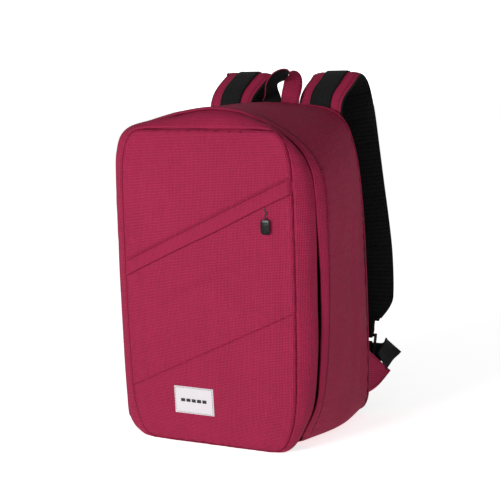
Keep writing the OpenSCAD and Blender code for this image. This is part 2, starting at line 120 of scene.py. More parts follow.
def noise(p, size, seed=0):
    """Smooth value noise in -1..1 at points p, with lumps about size mm across."""
    q = np.asarray(p, float) / np.asarray(size, float) + seed * 17.31
    i = np.floor(q).astype(int)
    f = q - i
    f = f * f * f * (f * (f * 6 - 15) + 10)
    out = 0
    for a in (0, 1):
        for b in (0, 1):
            for c in (0, 1):
                h = _perm[(_perm[(_perm[(i[..., 0] + a) % 4096] + i[..., 1] + b) % 4096] + i[..., 2]
                    + c) % 4096]
                w = (f[..., 0] if a else 1 - f[..., 0]) * (f[..., 1] if b else 1 - f[..., 1]) * (f[..., 2]
                    if c else 1 - f[..., 2])
                out = out + w * _hash[h]
    return 2 * out - 1


def noise_on(x, z, size, seed, y=0):
    """Noise on a sheet: x across, z up, and y picks a layer."""
    return noise(np.stack([x, x * 0 + y, z], -1), size, seed)


def noise_along(x, size, seed):
    return noise_on(x, x * 0, size, seed)


def across_band(width, w, l, size, seed):
    """Noise on a band: w from -1 to 1 across it and l mm along it."""
    return noise(np.stack([w * width, w * 0 + l, w * 0], -1), size, seed)


def crossways(line):
    """The X direction at every point of a line."""
    return np.array([[1.0, 0, 0]] * len(line))


def spline(points, steps, closed=False):
    """Catmull-Rom through the points, with steps samples to a span."""
    p = np.asarray(points, float)
    n = len(p)
    out = []
    spans = n if closed else n - 1
    for i in range(spans):
        if closed:
            a, b, c, d = p[(i - 1) % n], p[i], p[(i + 1) % n], p[(i + 2) % n]
        else:
            b, c = p[i], p[i + 1]
            a = p[i - 1] if i else 2 * b - c
            d = p[i + 2] if i + 2 < n else 2 * c - b
        t = np.linspace(0, 1, steps, endpoint=False)[:, None]
        out.append(0.5 * (2 * b + (c - a) * t + (2 * a - 5 * b + 4 * c - d) * t ** 2
            + (3 * b - a - 3 * c + d) * t ** 3))
    if not closed:
        out.append(p[-1:])
    return np.vstack(out)


def arc(p, closed=False):
    q = np.vstack([p, p[:1]]) if closed else p
    return np.concatenate([[0], np.cumsum(np.linalg.norm(np.diff(q, axis=0), axis=1))])


def even(p, step, closed=False):
    """The same line with points every step mm."""
    q = np.vstack([p, p[:1]]) if closed else p
    s = arc(q)
    n = max(2, int(round(s[-1] / step)))
    t = np.linspace(0, s[-1], n + 1)
    out = np.stack([np.interp(t, s, q[:, k]) for k in range(q.shape[1])], 1)
    return out[:-1] if closed else out


# ---- mesh helpers
def make(name, verts, faces, uvs=None, mat=None, smooth_shade=True):
    me = bpy.data.meshes.new(name)
    me.from_pydata((np.asarray(verts, float) * MM).tolist(), [], faces)
    if uvs is not None:
        layer = me.uv_layers.new(name="cloth")
        loops = np.zeros(len(me.loops), int)
        me.loops.foreach_get("vertex_index", loops)
        layer.data.foreach_set("uv", (np.asarray(uvs, float)[loops] * MM).ravel())
    me.update()
    bm = bmesh.new()
    bm.from_mesh(me)
    if all(e.is_manifold for e in bm.edges):
        bmesh.ops.recalc_face_normals(bm, faces=bm.faces)
        bm.to_mesh(me)
    bm.free()
    if smooth_shade:
        me.polygons.foreach_set("use_smooth", [True] * len(me.polygons))
    ob = bpy.data.objects.new(name, me)
    bpy.context.collection.objects.link(ob)
    if mat is not None:
        me.materials.append(mat)
    return ob


def grid_faces(n, m, closed=False, start=0):
    """Quads of an n by m grid of vertices, closed round its second direction if asked."""
    i, j = np.meshgrid(np.arange(n - 1), np.arange(m if closed else m - 1), indexing="ij")
    k = (j + 1) % m
    f = np.stack([i * m + j, i * m + k, (i + 1) * m + k, (i + 1) * m + j], -1).reshape(-1, 4) + start
    return f.tolist()


def grid_uv(P, closed=False):
    du = np.linalg.norm(np.diff(P, axis=1, append=P[:, :1]) if closed else np.diff(P, axis=1), axis=2)
    mid = du[len(P) // 2]
    u = np.concatenate([[0], np.cumsum(mid)])[:P.shape[1]]
    dv = np.linalg.norm(np.diff(P, axis=0), axis=2).mean(1)
    v = np.concatenate([[0], np.cumsum(dv)])
    return np.stack(np.broadcast_arrays(u[None, :], v[:, None]), -1).reshape(-1, 2)


def sheet_mesh(name, P, mat, closed=False, flip=False, uv=None):
    n, m = P.shape[:2]
    faces = grid_faces(n, m, closed)
    if flip:
        faces = [f[::-1] for f in faces]
    return make(name, P.reshape(-1, 3), faces, grid_uv(P, closed) if uv is None else uv, mat)


def swap_uv(coil):
    """A coil's ribs run along its tape, so its cloth coordinates are swapped."""
    uv = coil.data.uv_layers[0].data
    a = np.zeros(len(uv) * 2)
    uv.foreach_get("uv", a)
    uv.foreach_set("uv", a.reshape(-1, 2)[:, ::-1].ravel())


def add_thickness(ob, t, offset=-1.0):
    m = ob.modifiers.new("thickness", "SOLIDIFY")
    m.thickness = t * MM
    m.offset = offset
    m.use_even_offset = False
    return ob


def normals(P, closed=False):
    if closed:
        du = np.roll(P, -1, 1) - np.roll(P, 1, 1)
    else:
        du = np.gradient(P, axis=1)
    dv = np.gradient(P, axis=0)
    return unit(np.cross(du, dv))


def ribbon(name, path, side, half, profile_out, profile_in, mat, edge=None, closed_ends=True):
    """A band along path: profile_out and profile_in give the height of its two faces.

    They are called with s, from -1 to 1 across the band, the length run so far, and the point's number.
    """
    path, side = np.asarray(path, float), unit(side)
    n = len(path)
    t = unit(np.gradient(path, axis=0))
    b = unit(side - t * (side * t).sum(1, keepdims=True))
    up = np.cross(t, b)
    s = edge if edge is not None else np.linspace(-1, 1, 17)
    half = np.broadcast_to(half, (n,))
    length = arc(path)
    out = np.array([path[i] + np.outer(s * half[i], b[i]) + np.outer(profile_out(s, length[i], i), up[i])
        for i in range(n)])
    inn = np.array([path[i] + np.outer(s[::-1] * half[i], b[i])
        + np.outer(profile_in(s[::-1], length[i], i), up[i]) for i in range(n)])
    P = np.concatenate([out, inn], 1)
    m = P.shape[1]
    faces = grid_faces(n, m, True)
    if closed_ends:
        faces += [list(range(m))[::-1], list(range((n - 1) * m, n * m))]
    around = np.concatenate([s, 2 + s]) * half.mean()
    uv = np.stack(np.broadcast_arrays(around[None, :], length[:, None]), -1).reshape(-1, 2)
    return make(name, P.reshape(-1, 3), faces, uv, mat), P, b, up


def web_band(name, line, side, half, thick, edge_drop, columns=13):
    """A band of plain webbing along a line; its outer face drops by edge_drop at the edges."""
    return ribbon(name, line, side, np.full(len(line), half),
        lambda w, l, i: thick - edge_drop * np.abs(w) ** 6,
                  lambda w, l, i: -thick + 0 * w, M["webbing"], np.linspace(-1, 1, columns))[0]


def join(name, parts):
    """One object from several, keeping their materials."""
    for o in bpy.context.selected_objects:
        o.select_set(False)
    for o in parts:
        o.select_set(True)
    bpy.context.view_layer.objects.active = parts[0]
    bpy.ops.object.join()
    parts[0].name = name
    parts[0].data.name = name
    return parts[0]


def stitches(name, line, normal, mat, length=3.0, gap=1.1, width=0.62):
    """A row of sewn stitches along a line of points, each a small rounded bar that dips at both ends."""
    line = np.asarray(line, float)
    nrm = np.asarray(normal, float)
    if nrm.ndim == 1:
        nrm = np.broadcast_to(nrm, line.shape)
    s = arc(line)
    at = np.arange(gap, s[-1] - length, length + gap)
    ring = np.array([[math.cos(a), math.sin(a)] for a in np.linspace(0, 2 * math.pi, 6, endpoint=False)])
    verts, faces, uv = [], [], []
    stations = [(0.0, 0.35, -0.35), (0.2, 0.95, 0.1), (0.5, 1.0, 0.25), (0.8, 0.95, 0.1),
        (1.0, 0.35, -0.35)]
    for a in at:
        base = len(verts)
        p = [np.array([np.interp(a + f * length, s, line[:, k]) for k in range(3)]) for f, _, _ in stations]
        n = unit(np.array([np.interp(a + length / 2, s, nrm[:, k]) for k in range(3)]))
        t = unit(p[-1] - p[0])
        b = np.cross(n, t)
        for (f, r, h), q in zip(stations, p):
            for c, d in ring:
                verts.append(q + n * (h * width * 0.5 + d * r * width / 2) + b * (c * r * width / 2))
                uv.append((f * length, c))
        for i in range(4):
            for j in range(6):
                k = (j + 1) % 6
                faces.append([base + i * 6 + j, base + i * 6 + k, base + (i + 1) * 6 + k,
                    base + (i + 1) * 6 + j])
        faces.append([base + j for j in range(6)][::-1])
        faces.append([base + 24 + j for j in range(6)])
    return make(name, np.array(verts), faces, np.array(uv), mat)


def tube(name, path, radius, mat, sides=10, flat=1.0):
    path = np.asarray(path, float)
    t = unit(np.gradient(path, axis=0))
    ref = np.array([0, 0, 1.0]) if abs(t[0][2]) < 0.9 else np.array([1.0, 0, 0])
    u = unit(np.cross(t[0], ref))
    P = []
    r = np.broadcast_to(radius, (len(path),))
    for i in range(len(path)):
        u = unit(u - t[i] * u.dot(t[i]))
        v = np.cross(t[i], u)
        a = np.linspace(0, 2 * math.pi, sides, endpoint=False)
        P.append(path[i] + r[i] * (np.outer(np.cos(a), u) + flat * np.outer(np.sin(a), v)))
    P = np.array(P)
    faces = grid_faces(len(path), sides, True)
    faces += [list(range(sides))[::-1], list(range((len(path) - 1) * sides, len(path) * sides))]
    return make(name, P.reshape(-1, 3), faces, grid_uv(P, True), mat)


# ---- materials
def srgb(r, g, b):
    f = lambda c: c / 12.92 if c <= 0.04045 else ((c + 0.055) / 1.055) ** 2.4
    return [f(v / 255) for v in (r, g, b)] + [1.0]


class Nodes:
    """Short names for building a material."""

    def __init__(self, name):
        self.mat = bpy.data.materials.new(name)
        self.mat.use_nodes = True
        self.t = self.mat.node_tree
        self.bsdf = self.t.nodes["Principled BSDF"]

    def new(self, kind, **inputs):
        n = self.t.nodes.new(kind)
        for k, v in inputs.items():
            key = int(k[1:]) if k[0] == "_" and k[1:].isdigit() else k.replace("_", " ")
            self.put(n.inputs[key], v)
        return n

    def put(self, socket, v):
        if hasattr(v, "links"):
            self.t.links.new(v, socket)
        else:
            socket.default_value = v

    def face(self, name, v):
        self.put(self.bsdf.inputs[name], v)

    def math(self, op, a, b=0.0, c=0.0):
        n = self.t.nodes.new("ShaderNodeMath")
        n.operation = op
        for s, v in zip(n.inputs, (a, b, c)):
            self.put(s, v)
        return n.outputs[0]

    def add(self, a, b):
        return self.math("ADD", a, b)

    def mul(self, a, b):
        return self.math("MULTIPLY", a, b)

    def mix(self, fac, a, b):
        n = self.t.nodes.new("ShaderNodeMix")
        n.data_type = "RGBA"
        self.put(n.inputs[0], fac)
        self.put(n.inputs[6], a)
        self.put(n.inputs[7], b)
        return n.outputs[2]

    def noise(self, vector, scale, detail=3.0, rough=0.5):
        n = self.new("ShaderNodeTexNoise", Scale=scale, Detail=detail, Roughness=rough)
        self.put(n.inputs["Vector"], vector)
        return n.outputs["Fac"]

    def range(self, v, a, b, c, d):
        n = self.t.nodes.new("ShaderNodeMapRange")
        for s, x in zip(list(n.inputs)[:5], (v, a, b, c, d)):
            self.put(s, x)
        return n.outputs[0]

    def coords(self, use_uv=True):
        n = self.t.nodes.new("ShaderNodeUVMap" if use_uv else "ShaderNodeTexCoord")
        if use_uv:
            n.uv_map = "cloth"
            return n.outputs[0]
        return n.outputs["Object"]

    def bump(self, height, distance, strength=1.0, under=None):
        n = self.new("ShaderNodeBump", Strength=strength, Distance=distance)
        self.put(n.inputs["Height"], height)
        if under is not None:
            self.put(n.inputs["Normal"], under)
        return n.outputs[0]


def weave(k, vec, pitch, wobble=0.12):
    """Plain weave at that thread pitch in metres: returns thread height 0..1 and a per-thread shade."""
    t = k.t
    sep = t.nodes.new("ShaderNodeSeparateXYZ")
    t.links.new(vec, sep.inputs[0])
    n1 = k.noise(vec, 0.08 / pitch, 2.0)
    n2 = k.noise(vec, 0.055 / pitch, 2.0)
    u = k.add(k.math("DIVIDE", sep.outputs[0], pitch), k.mul(n1, wobble * 6))
    v = k.add(k.math("DIVIDE", sep.outputs[1], pitch), k.mul(n2, wobble * 6))
    pi = math.pi
    su = k.math("ABSOLUTE", k.math("SINE", k.mul(u, pi)))
    sv = k.math("ABSOLUTE", k.math("SINE", k.mul(v, pi)))
    parity = k.math("MODULO", k.math("ABSOLUTE", k.add(k.math("FLOOR", u), k.math("FLOOR", v))), 2.0)
    over_u = k.mul(k.math("POWER", su, 0.6), k.add(0.35, k.mul(sv, 0.65)))
    over_v = k.mul(k.math("POWER", sv, 0.6), k.add(0.35, k.mul(su, 0.65)))
    h = k.add(k.mul(parity, over_u), k.mul(k.math("SUBTRACT", 1.0, parity), over_v))
    white = t.nodes.new("ShaderNodeTexWhiteNoise")
    white.noise_dimensions = "2D"
    comb = t.nodes.new("ShaderNodeCombineXYZ")
    k.put(comb.inputs[0], k.math("FLOOR", u))
    k.put(comb.inputs[1], k.mul(k.math("FLOOR", k.mul(v, 0.25)), parity))
    t.links.new(comb.outputs[0], white.inputs[0])
    return h, white.outputs[0]


def fabric(name, light, dark, pitch=0.0016, depth=0.00022, rough=0.6, sheen=0.0, use_uv=True, mottle=0.5,
        tint=(1, 1, 1, 1)):
    """Woven polyester: thread relief with painted shade in the weave's hollows, thread to thread shade, faint
    mottling and rub.
    """
    k = Nodes(name)
    vec = k.coords(use_uv)
    h, shade = weave(k, vec, pitch)
    obj = k.coords(False)
    big = k.noise(obj, 14.0, 4.0, 0.6)
    small = k.noise(obj, 160.0, 2.0, 0.5)
    # painted shade: the colour runs from dark in the weave's hollows to light on the thread crowns, following
    # the same height as the bump
    colour = k.mix(k.range(h, 0.0, 0.75, 0.0, 1.0), dark, light)
    colour = k.mix(k.mul(k.range(shade, 0.0, 1.0, 0.0, 0.14), 1.0), colour, dark)
    colour = k.mix(k.mul(k.range(big, 0.35, 0.7, 0.0, 0.16), mottle), colour, dark)
    colour = k.mix(k.mul(k.range(small, 0.45, 0.7, 0.0, 0.12), mottle), colour, light)
    k.face("Base Color", colour)
    k.face("Roughness", k.range(small, 0.3, 0.7, rough - 0.06, rough + 0.06))
    k.face("Specular IOR Level", 0.12)
    k.face("Sheen Weight", sheen)
    k.face("Sheen Roughness", 0.4)
    k.face("Sheen Tint", tint)
    under = k.bump(k.add(k.mul(big, 0.6), k.mul(small, 0.1)), 0.0016, 0.6)
    k.face("Normal", k.bump(h, depth, 1.0, under))
    return k.mat


def webbing_mat(name, light, dark, rib=0.0022, across=0.0011, depth=0.0005, rough=0.62):
    """Ribbed webbing: ribs across the band with herringbone threads, and painted shade in the hollows between
    them.
    """
    k = Nodes(name)
    vec = k.coords(True)
    sep = k.t.nodes.new("ShaderNodeSeparateXYZ")
    k.t.links.new(vec, sep.inputs[0])
    lean = k.math("PINGPONG", sep.outputs[0], 0.0036)
    v = k.add(sep.outputs[1], k.mul(lean, 0.7))
    ribs = k.math("ABSOLUTE", k.math("SINE", k.mul(v, math.pi / rib)))
    cols = k.math("ABSOLUTE", k.math("SINE", k.mul(sep.outputs[0], math.pi / across)))
    h = k.add(k.mul(ribs, 0.7), k.mul(cols, 0.3))
    obj = k.coords(False)
    small = k.noise(obj, 220.0, 2.0)
    # painted shade: dark in the hollows between ribs and threads and light on their crowns, following the
    # same height as the bump
    k.face("Base Color", k.mix(k.range(h, 0.1, 0.9, 0.0, 1.0), dark, light))
    k.face("Roughness", k.range(small, 0.3, 0.7, rough - 0.08, rough + 0.08))
    k.face("Sheen Weight", 0.03)
    k.face("Specular IOR Level", 0.12)
    k.face("Normal", k.bump(h, depth, 0.9, k.bump(small, 0.0004, 0.5)))
    return k.mat


def mesh_mat(name, light, dark, cell=0.0034, depth=0.0007):
    """Spacer mesh: rows of small hexagonal holes in a soft knitted face; the holes are painted dark as the
    shade inside them.
    """
    k = Nodes(name)
    vec = k.coords(True)
    mp = k.new("ShaderNodeVectorMath")
    mp.operation = "MULTIPLY"
    k.put(mp.inputs[0], vec)
    mp.inputs[1].default_value = (1.0, 0.62, 1.0)
    vor = k.new("ShaderNodeTexVoronoi", Scale=1 / cell, Randomness=0.12)
    k.t.links.new(mp.outputs[0], vor.inputs["Vector"])
    d = vor.outputs["Distance"]
    hole = k.range(d, 0.2, 0.42, 0.0, 1.0)
    fine = k.noise(vec, 1500.0, 2.0)
    # painted shade: the holes take the dark colour
    k.face("Base Color", k.mix(hole, dark, light))
    k.face("Roughness", k.range(fine, 0.3, 0.7, 0.72, 0.9))
    k.face("Sheen Weight", 0.03)
    k.face("Specular IOR Level", 0.2)
    k.face("Normal", k.bump(hole, depth, 0.8, k.bump(fine, 0.0003, 0.6)))
    return k.mat


def plastic(name, colour, rough=0.42, grain=900.0, metallic=0.0, wear=None):
    k = Nodes(name)
    obj = k.coords(False)
    fine = k.noise(obj, grain, 2.0)
    big = k.noise(obj, 60.0, 3.0)
    base = k.mix(k.range(big, 0.35, 0.7, 0.0, 0.25), colour,
        [min(1, c * 1.7 + 0.01) for c in colour[:3]] + [1.0])
    if wear is not None:
        geo = k.t.nodes.new("ShaderNodeNewGeometry")
        base = k.mix(k.range(geo.outputs["Pointiness"], 0.52, 0.6, 0.0, 0.6), base, wear)
    k.face("Base Color", base)
    k.face("Roughness", k.range(big, 0.3, 0.7, rough - 0.07, rough + 0.1))
    k.face("Metallic", metallic)
    k.face("Normal", k.bump(fine, 0.0001, 0.35))
    return k.mat


# BURGUNDY_DEEP is the shell's colour in the weave's hollows, which is painted shade there, and the dark tone
# of its random mottling
BURGUNDY = srgb(172, 38, 78)
BURGUNDY_DEEP = srgb(62, 6, 22)
M = {}
M["shell"] = fabric("shell_fabric", BURGUNDY, BURGUNDY_DEEP, pitch=0.0019, depth=0.0004)
M["shell_cad"] = fabric("shell_fabric_plain", BURGUNDY, BURGUNDY_DEEP, use_uv=False)
M["lining"] = fabric("lining_fabric", srgb(26, 26, 28), srgb(10, 10, 11), pitch=0.0009, depth=0.0001,
    rough=0.6, sheen=0.03)
M["lining_cad"] = fabric("lining_fabric_plain", srgb(26, 26, 28), srgb(10, 10, 11), pitch=0.0009,
    depth=0.0001, rough=0.6, use_uv=False)
M["webbing"] = webbing_mat("webbing", srgb(24, 24, 25), srgb(8, 8, 8))
M["mesh"] = mesh_mat("spacer_mesh", srgb(22, 22, 23), srgb(4, 4, 4))
M["tape"] = webbing_mat("zip_tape", srgb(30, 30, 31), srgb(12, 12, 12), rib=0.001, across=0.0014,
    depth=0.0002)
M["coil"] = webbing_mat("zip_coil", srgb(42, 42, 44), srgb(6, 6, 6), rib=0.0013, across=0.02, depth=0.0007,
    rough=0.4)
M["plastic"] = plastic("moulded_plastic", srgb(13, 13, 14), rough=0.34)
M["slider"] = plastic("lacquered_zinc", srgb(26, 26, 28), rough=0.3, metallic=0.6, wear=srgb(120, 118, 116))
M["foam"] = plastic("foam", srgb(120, 120, 122), rough=0.9, grain=400.0)
# painted shade: the stitching thread is darker than the burgundy cloth it is sewn in, standing in for the
# shadow along its stitches
M["thread"] = fabric("thread", srgb(112, 18, 46), srgb(54, 6, 22), pitch=0.0006, depth=0.0001, rough=0.6)
M["black_thread"] = fabric("black_thread", srgb(40, 40, 40), srgb(12, 12, 12), pitch=0.0006, depth=0.0001,
    rough=0.6)
M["label"] = fabric("woven_label", srgb(214, 210, 213), srgb(186, 182, 186), pitch=0.0007, depth=0.00006,
    rough=0.6, sheen=0.03, mottle=0.2)
M["label_mark"] = fabric("label_mark", srgb(60, 58, 60), srgb(26, 26, 27), pitch=0.0005, depth=0.00005,
    rough=0.7)
M["cord"] = webbing_mat("cord", srgb(74, 70, 74), srgb(14, 14, 15), rib=0.0012, across=0.0012,
    depth=0.0004, rough=0.5)

SLOT_MATERIAL = {"shell_fabric": "shell_cad", "lining_fabric": "lining_cad", "mesh_fabric": "lining_cad",
    "foam": "foam", "webbing": "lining_cad",
                 "zip_tape": "lining_cad", "zip_coil": "plastic", "slider_metal": "slider",
                 "moulded_plastic": "plastic",
                 "cord": "lining_cad", "label": "shell_cad"}
for sub in frame["record"]["subparts"]:
    ob = frame["nodes"][sub["node"]]
    ob.data.materials.clear()
    ob.data.materials.append(M[SLOT_MATERIAL[sub["material_slot"]]])


# ---- the bag's outlines
# Each outline is a loop of 26 points, from the middle of the base up the right side,
# over the top and down the left.
# A point is (share of the half width, share of the height).
def loop(right, left=None):
    left = right if left is None else left
    r = [(x, z) for x, z in right]
    l = [(-x, z) for x, z in left[1:-1]][::-1]
    pts = np.array(r + l) * [HALF_W, TALL]
    return pts


SPAN = 12  # samples to a span
R_FRONT = [(0, 0.004), (0.42, 0.004), (0.64, 0.012), (0.735, 0.06), (0.785, 0.14), (0.805, 0.28),
    (0.812, 0.47), (0.812, 0.66),
           (0.808, 0.79), (0.79, 0.865), (0.735, 0.92), (0.62, 0.947), (0.30, 0.9495), (0, 0.949)]
R_LID = [(0, 0.0), (0.50, 0.001), (0.69, 0.018), (0.80, 0.072), (0.885, 0.15), (0.93, 0.29), (0.94, 0.48),
    (0.942, 0.65),
         (0.932, 0.78), (0.882, 0.85), (0.755, 0.905), (0.55, 0.951), (0.28, 0.990), (0, 1.0)]
L_LID = [(0, 0.0), (0.52, 0.001), (0.82, 0.010), (0.925, 0.04), (0.945, 0.12), (0.952, 0.27),
    (0.955, 0.46), (0.955, 0.65),
         (0.952, 0.79), (0.937, 0.87), (0.86, 0.925), (0.60, 0.958), (0.30, 0.985), (0, 1.0)]
R_MOUTH = [(0, 0.0), (0.50, 0.0), (0.70, 0.016), (0.825, 0.07), (0.915, 0.155), (0.975, 0.30), (1.0, 0.49),
    (1.0, 0.66),
           (0.98, 0.785), (0.915, 0.848), (0.78, 0.902), (0.58, 0.948), (0.30, 0.988), (0, 1.002)]
L_MOUTH = [(0, 0.0), (0.54, 0.0), (0.85, 0.008), (0.985, 0.036), (1.01, 0.12), (1.025, 0.27),
    (1.032, 0.46), (1.03, 0.65),
           (1.025, 0.79), (0.995, 0.882), (0.89, 0.94), (0.62, 0.966), (0.31, 0.992), (0, 1.002)]
R_MID = [(0, 0.0), (0.50, 0.0), (0.72, 0.002), (0.85, 0.040), (0.915, 0.14), (0.945, 0.30), (0.955, 0.49),
    (0.945, 0.66),
         (0.915, 0.785), (0.86, 0.86), (0.745, 0.922), (0.57, 0.962), (0.30, 0.990), (0, 0.998)]
R_BACK = [(0, 0.008), (0.50, 0.008), (0.73, 0.010), (0.835, 0.042), (0.862, 0.12), (0.862, 0.30),
    (0.852, 0.49), (0.832, 0.66),
          (0.80, 0.785), (0.755, 0.868), (0.68, 0.935), (0.545, 0.974), (0.30, 0.990), (0, 0.996)]

FRONT_O = spline(loop(R_FRONT), SPAN, True)
LID_O = spline(loop(R_LID, L_LID), SPAN, True)
MOUTH_O = spline(loop(R_MOUTH, L_MOUTH), SPAN, True)
MID_O = spline(loop(R_MID, [(x * 1.02, z) for x, z in R_MID]), SPAN, True)
BACK_O = spline(loop(R_BACK), SPAN, True)
RING = len(FRONT_O)


def outline_normals(o):
    t = np.roll(o, -1, 0) - np.roll(o, 1, 0)
    return unit(np.stack([t[:, 1], -t[:, 0]], 1))


def at3(o, y):
    return np.stack([o[:, 0], np.full(len(o), float(y)), o[:, 1]], 1)


def between(keys, y):
    """The outline at depth y, smoothly through the keyed ones."""
    ys = [k[0] for k in keys]
    pts = np.array([k[1] for k in keys])
    i = int(np.clip(np.searchsorted(ys, y) - 1, 0, len(ys) - 2))
    t = (y - ys[i]) / (ys[i + 1] - ys[i])
    b, c = pts[i], pts[i + 1]
    a = pts[i - 1] if i else b + (b - c)
    d = pts[i + 2] if i + 2 < len(ys) else c + (c - b)
    return 0.5 * (2 * b + (c - a) * t + (2 * a - 5 * b + 4 * c - d) * t ** 2
        + (3 * b - a - 3 * c + d) * t ** 3)


STITCH_Y = MOUTH_Y - 2
BODY_KEYS = [(STITCH_Y, MOUTH_O), ((STITCH_Y + BACK_Y) / 2, MID_O), (BACK_Y - 1, BACK_O)]


# ---- soft relief shared by the shell's pieces
def soft_relief(p, deep=1.0):
    """Slow dents and small creases of stuffed cloth, in mm, at points p."""
    broad = noise(p, [95, 95, 120], 1) * 1.5 + noise(p, [42, 50, 60], 2) * 0.7
    crease = noise(p, [16, 22, 34], 3) * 0.22
    return deep * (broad + crease)


def pucker(s, d, reach=9.0, size=0.45, wave=11.0, seed=0):
    """Gathers along a seam: s runs along it and d is the distance from it, in mm."""
    q = np.stack([s, np.zeros_like(s), np.zeros_like(s)], -1)
    phase = noise(q, wave * 2.3, seed + 5) * 3.0
    return size * np.sin(2 * math.pi * s / wave + phase) * np.exp(-d / reach)


def rides(ob, body, slot, *nodes):
    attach(ob, body)
    if nodes:
        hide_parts(*nodes)
    return ob


def bisect(ob, normal, *cuts):
    """Cuts a piece by planes with one normal: each cut is a height, and whether the part below it goes."""
    bm = bmesh.new()
    bm.from_mesh(ob.data)
    for height, lower in cuts:
        everything = bm.verts[:] + bm.edges[:] + bm.faces[:]
        bmesh.ops.bisect_plane(bm, geom=everything, plane_co=(0, 0, height * MM), plane_no=normal,
                               clear_inner=lower, clear_outer=not lower)
    bm.to_mesh(ob.data)
    bm.free()
    return ob


def above(ob, z):
    return bisect(ob, (0, 0, 1), (z, True))


def below(ob, z):
    return bisect(ob, (0, 0, 1), (z, False))


# ---- rear section: the gusset with its flap
def body_surface(rows=64):
    ys = STITCH_Y + (BACK_Y - 1 - STITCH_Y) * np.linspace(0, 1, rows)
    P = np.array([at3(between(BODY_KEYS, y), y) for y in ys])
    N = normals(P, True)
    if (N[:, :, 0] * np.sign(P[:, :, 0])).mean() < 0:
        N = -N
    s = np.broadcast_to(arc(P[0], True)[:RING], (rows, RING))
    d_front = (ys - ys[0])[:, None] * np.ones(RING)
    d_back = (ys[-1] - ys)[:, None] * np.ones(RING)
    relief = soft_relief(P, 1.4)
    # the sides sink a little behind the flap's stitching and swell in the middle
    relief += 2.2 * np.sin(np.clip(d_front / 158, 0, 1) * math.pi) - 2.2 * bump_at(d_front, 0, 3)
    relief += pucker(s, d_front, 13, 0.8, 13, 1) + pucker(s, d_back, 16, 0.6, 17, 2)
    relief -= 2.2 * bump_at(d_back, 0, 3.5)
    # soft vertical dents on the side walls
    side = smooth((np.abs(P[..., 0]) - 0.62 * HALF_W) / (0.2 * HALF_W))
    y = P[..., 1]
    z = P[..., 2]
    relief += side * (-2.4 * bump_at(y + 0.03 * (z - 200), 22,
        12) * smooth((z - 40) / 90) * smooth((330 - z) / 80)
                      + 1.6 * bump_at(y, 52, 16) * smooth((z - 30) / 60) * smooth((380 - z) / 90)
                      - 1.8 * bump_at(y - 0.12 * (z - 90), 66,
                      9) * smooth((z - 20) / 50) * smooth((180 - z) / 60))
    base = smooth((10 - z) / 10)
    P = P + N * (relief * (1 - base))[..., None]
    P[..., 2] = np.maximum(P[..., 2], 0.3 + 0.4 * base)
    return P, N


P, N = body_surface()
gusset = sheet_mesh("main_gusset_shell", P, M["shell"], True, flip=True)
rides(gusset, "rear_section", "shell_fabric", "main_gusset", "bottom_panel")

# the flap over the main zip: two layers turned at the free edge, stitched down at STITCH_Y
LIP_O = LID_O + outline_normals(LID_O) * 1.7
GAP = 6.5 * smooth((LIP_O[:, 0] - 0.6 * HALF_W) / 30) * smooth((LIP_O[:, 1] - 26) / 50) * smooth((318
    - LIP_O[:, 1]) / 110)
FLAP_FREE = LID_Y - 1.2 + GAP


def flap_surface():
    """Two layers of cloth, turned at the free edge, which stands off the lid low on the right side."""
    rows = 12
    n = outline_normals(MOUTH_O)
    s = arc(MOUTH_O, True)[:RING]
    q = np.stack([s, s * 0, s * 0], -1)
    wave = 0.5 * noise(q, 26, 8) + 0.6 * noise(q, 70, 9)
    P = []
    for layer in (0, 1):
        for i in range(rows):
            t = i / (rows - 1) if layer == 0 else 1 - i / (rows - 1)
            o = MOUTH_O * (1 - t) + LIP_O * t
            proud = 1.3 + 1.6 * math.sin(math.pi * min(1, t * 1.1)) - 2.1 * bump_at(t, 0.02,
                0.1) if layer == 0 else -0.7
            p = o + n * (proud + wave * t)[:, None]
            y = STITCH_Y + (FLAP_FREE - STITCH_Y) * t + 0.7 * noise(q, 55, 10) * t + 0.3 * layer
            P.append(np.stack([p[:, 0], y, p[:, 1]], 1))
    seam = at3(MOUTH_O - n * 5.0, STITCH_Y + 5)
    return np.array([seam] + P + [seam])


FP = flap_surface()
flap = sheet_mesh("main_zip_flap", FP, M["shell"], True)
above(flap, FOLD_Z - 12)
rides(flap, "rear_section", "shell_fabric", "zip_flap")

row = FP[3] + np.stack([outline_normals(MOUTH_O)[:, 0], np.zeros(RING), outline_normals(MOUTH_O)[:, 1]],
    1) * 0.3
nn = np.stack([outline_normals(MOUTH_O)[:, 0], np.zeros(RING), outline_normals(MOUTH_O)[:, 1]], 1)
keep = row[:, 2] > FOLD_Z - 8
start = np.where(keep & ~np.roll(keep, 1))[0][0]
order = [(start + k) % RING for k in range(keep.sum())]
FLAP_LINE, FLAP_NORMAL = row[order], nn[order]
rides(stitches("main_flap_stitching", FLAP_LINE, FLAP_NORMAL, M["thread"], width=0.8), "rear_section",
    "shell_fabric")

# ---- main zip, both halves, and the facing behind it
ZIP_MID = (mm_box("main_zip_coil_rear")[0][1] + mm_box("main_zip_coil_lid")[1][1]) / 2
ZIP_O = 0.8 * LID_O + 0.2 * MOUTH_O
ZIP_O = ZIP_O - outline_normals(ZIP_O) * 6.2


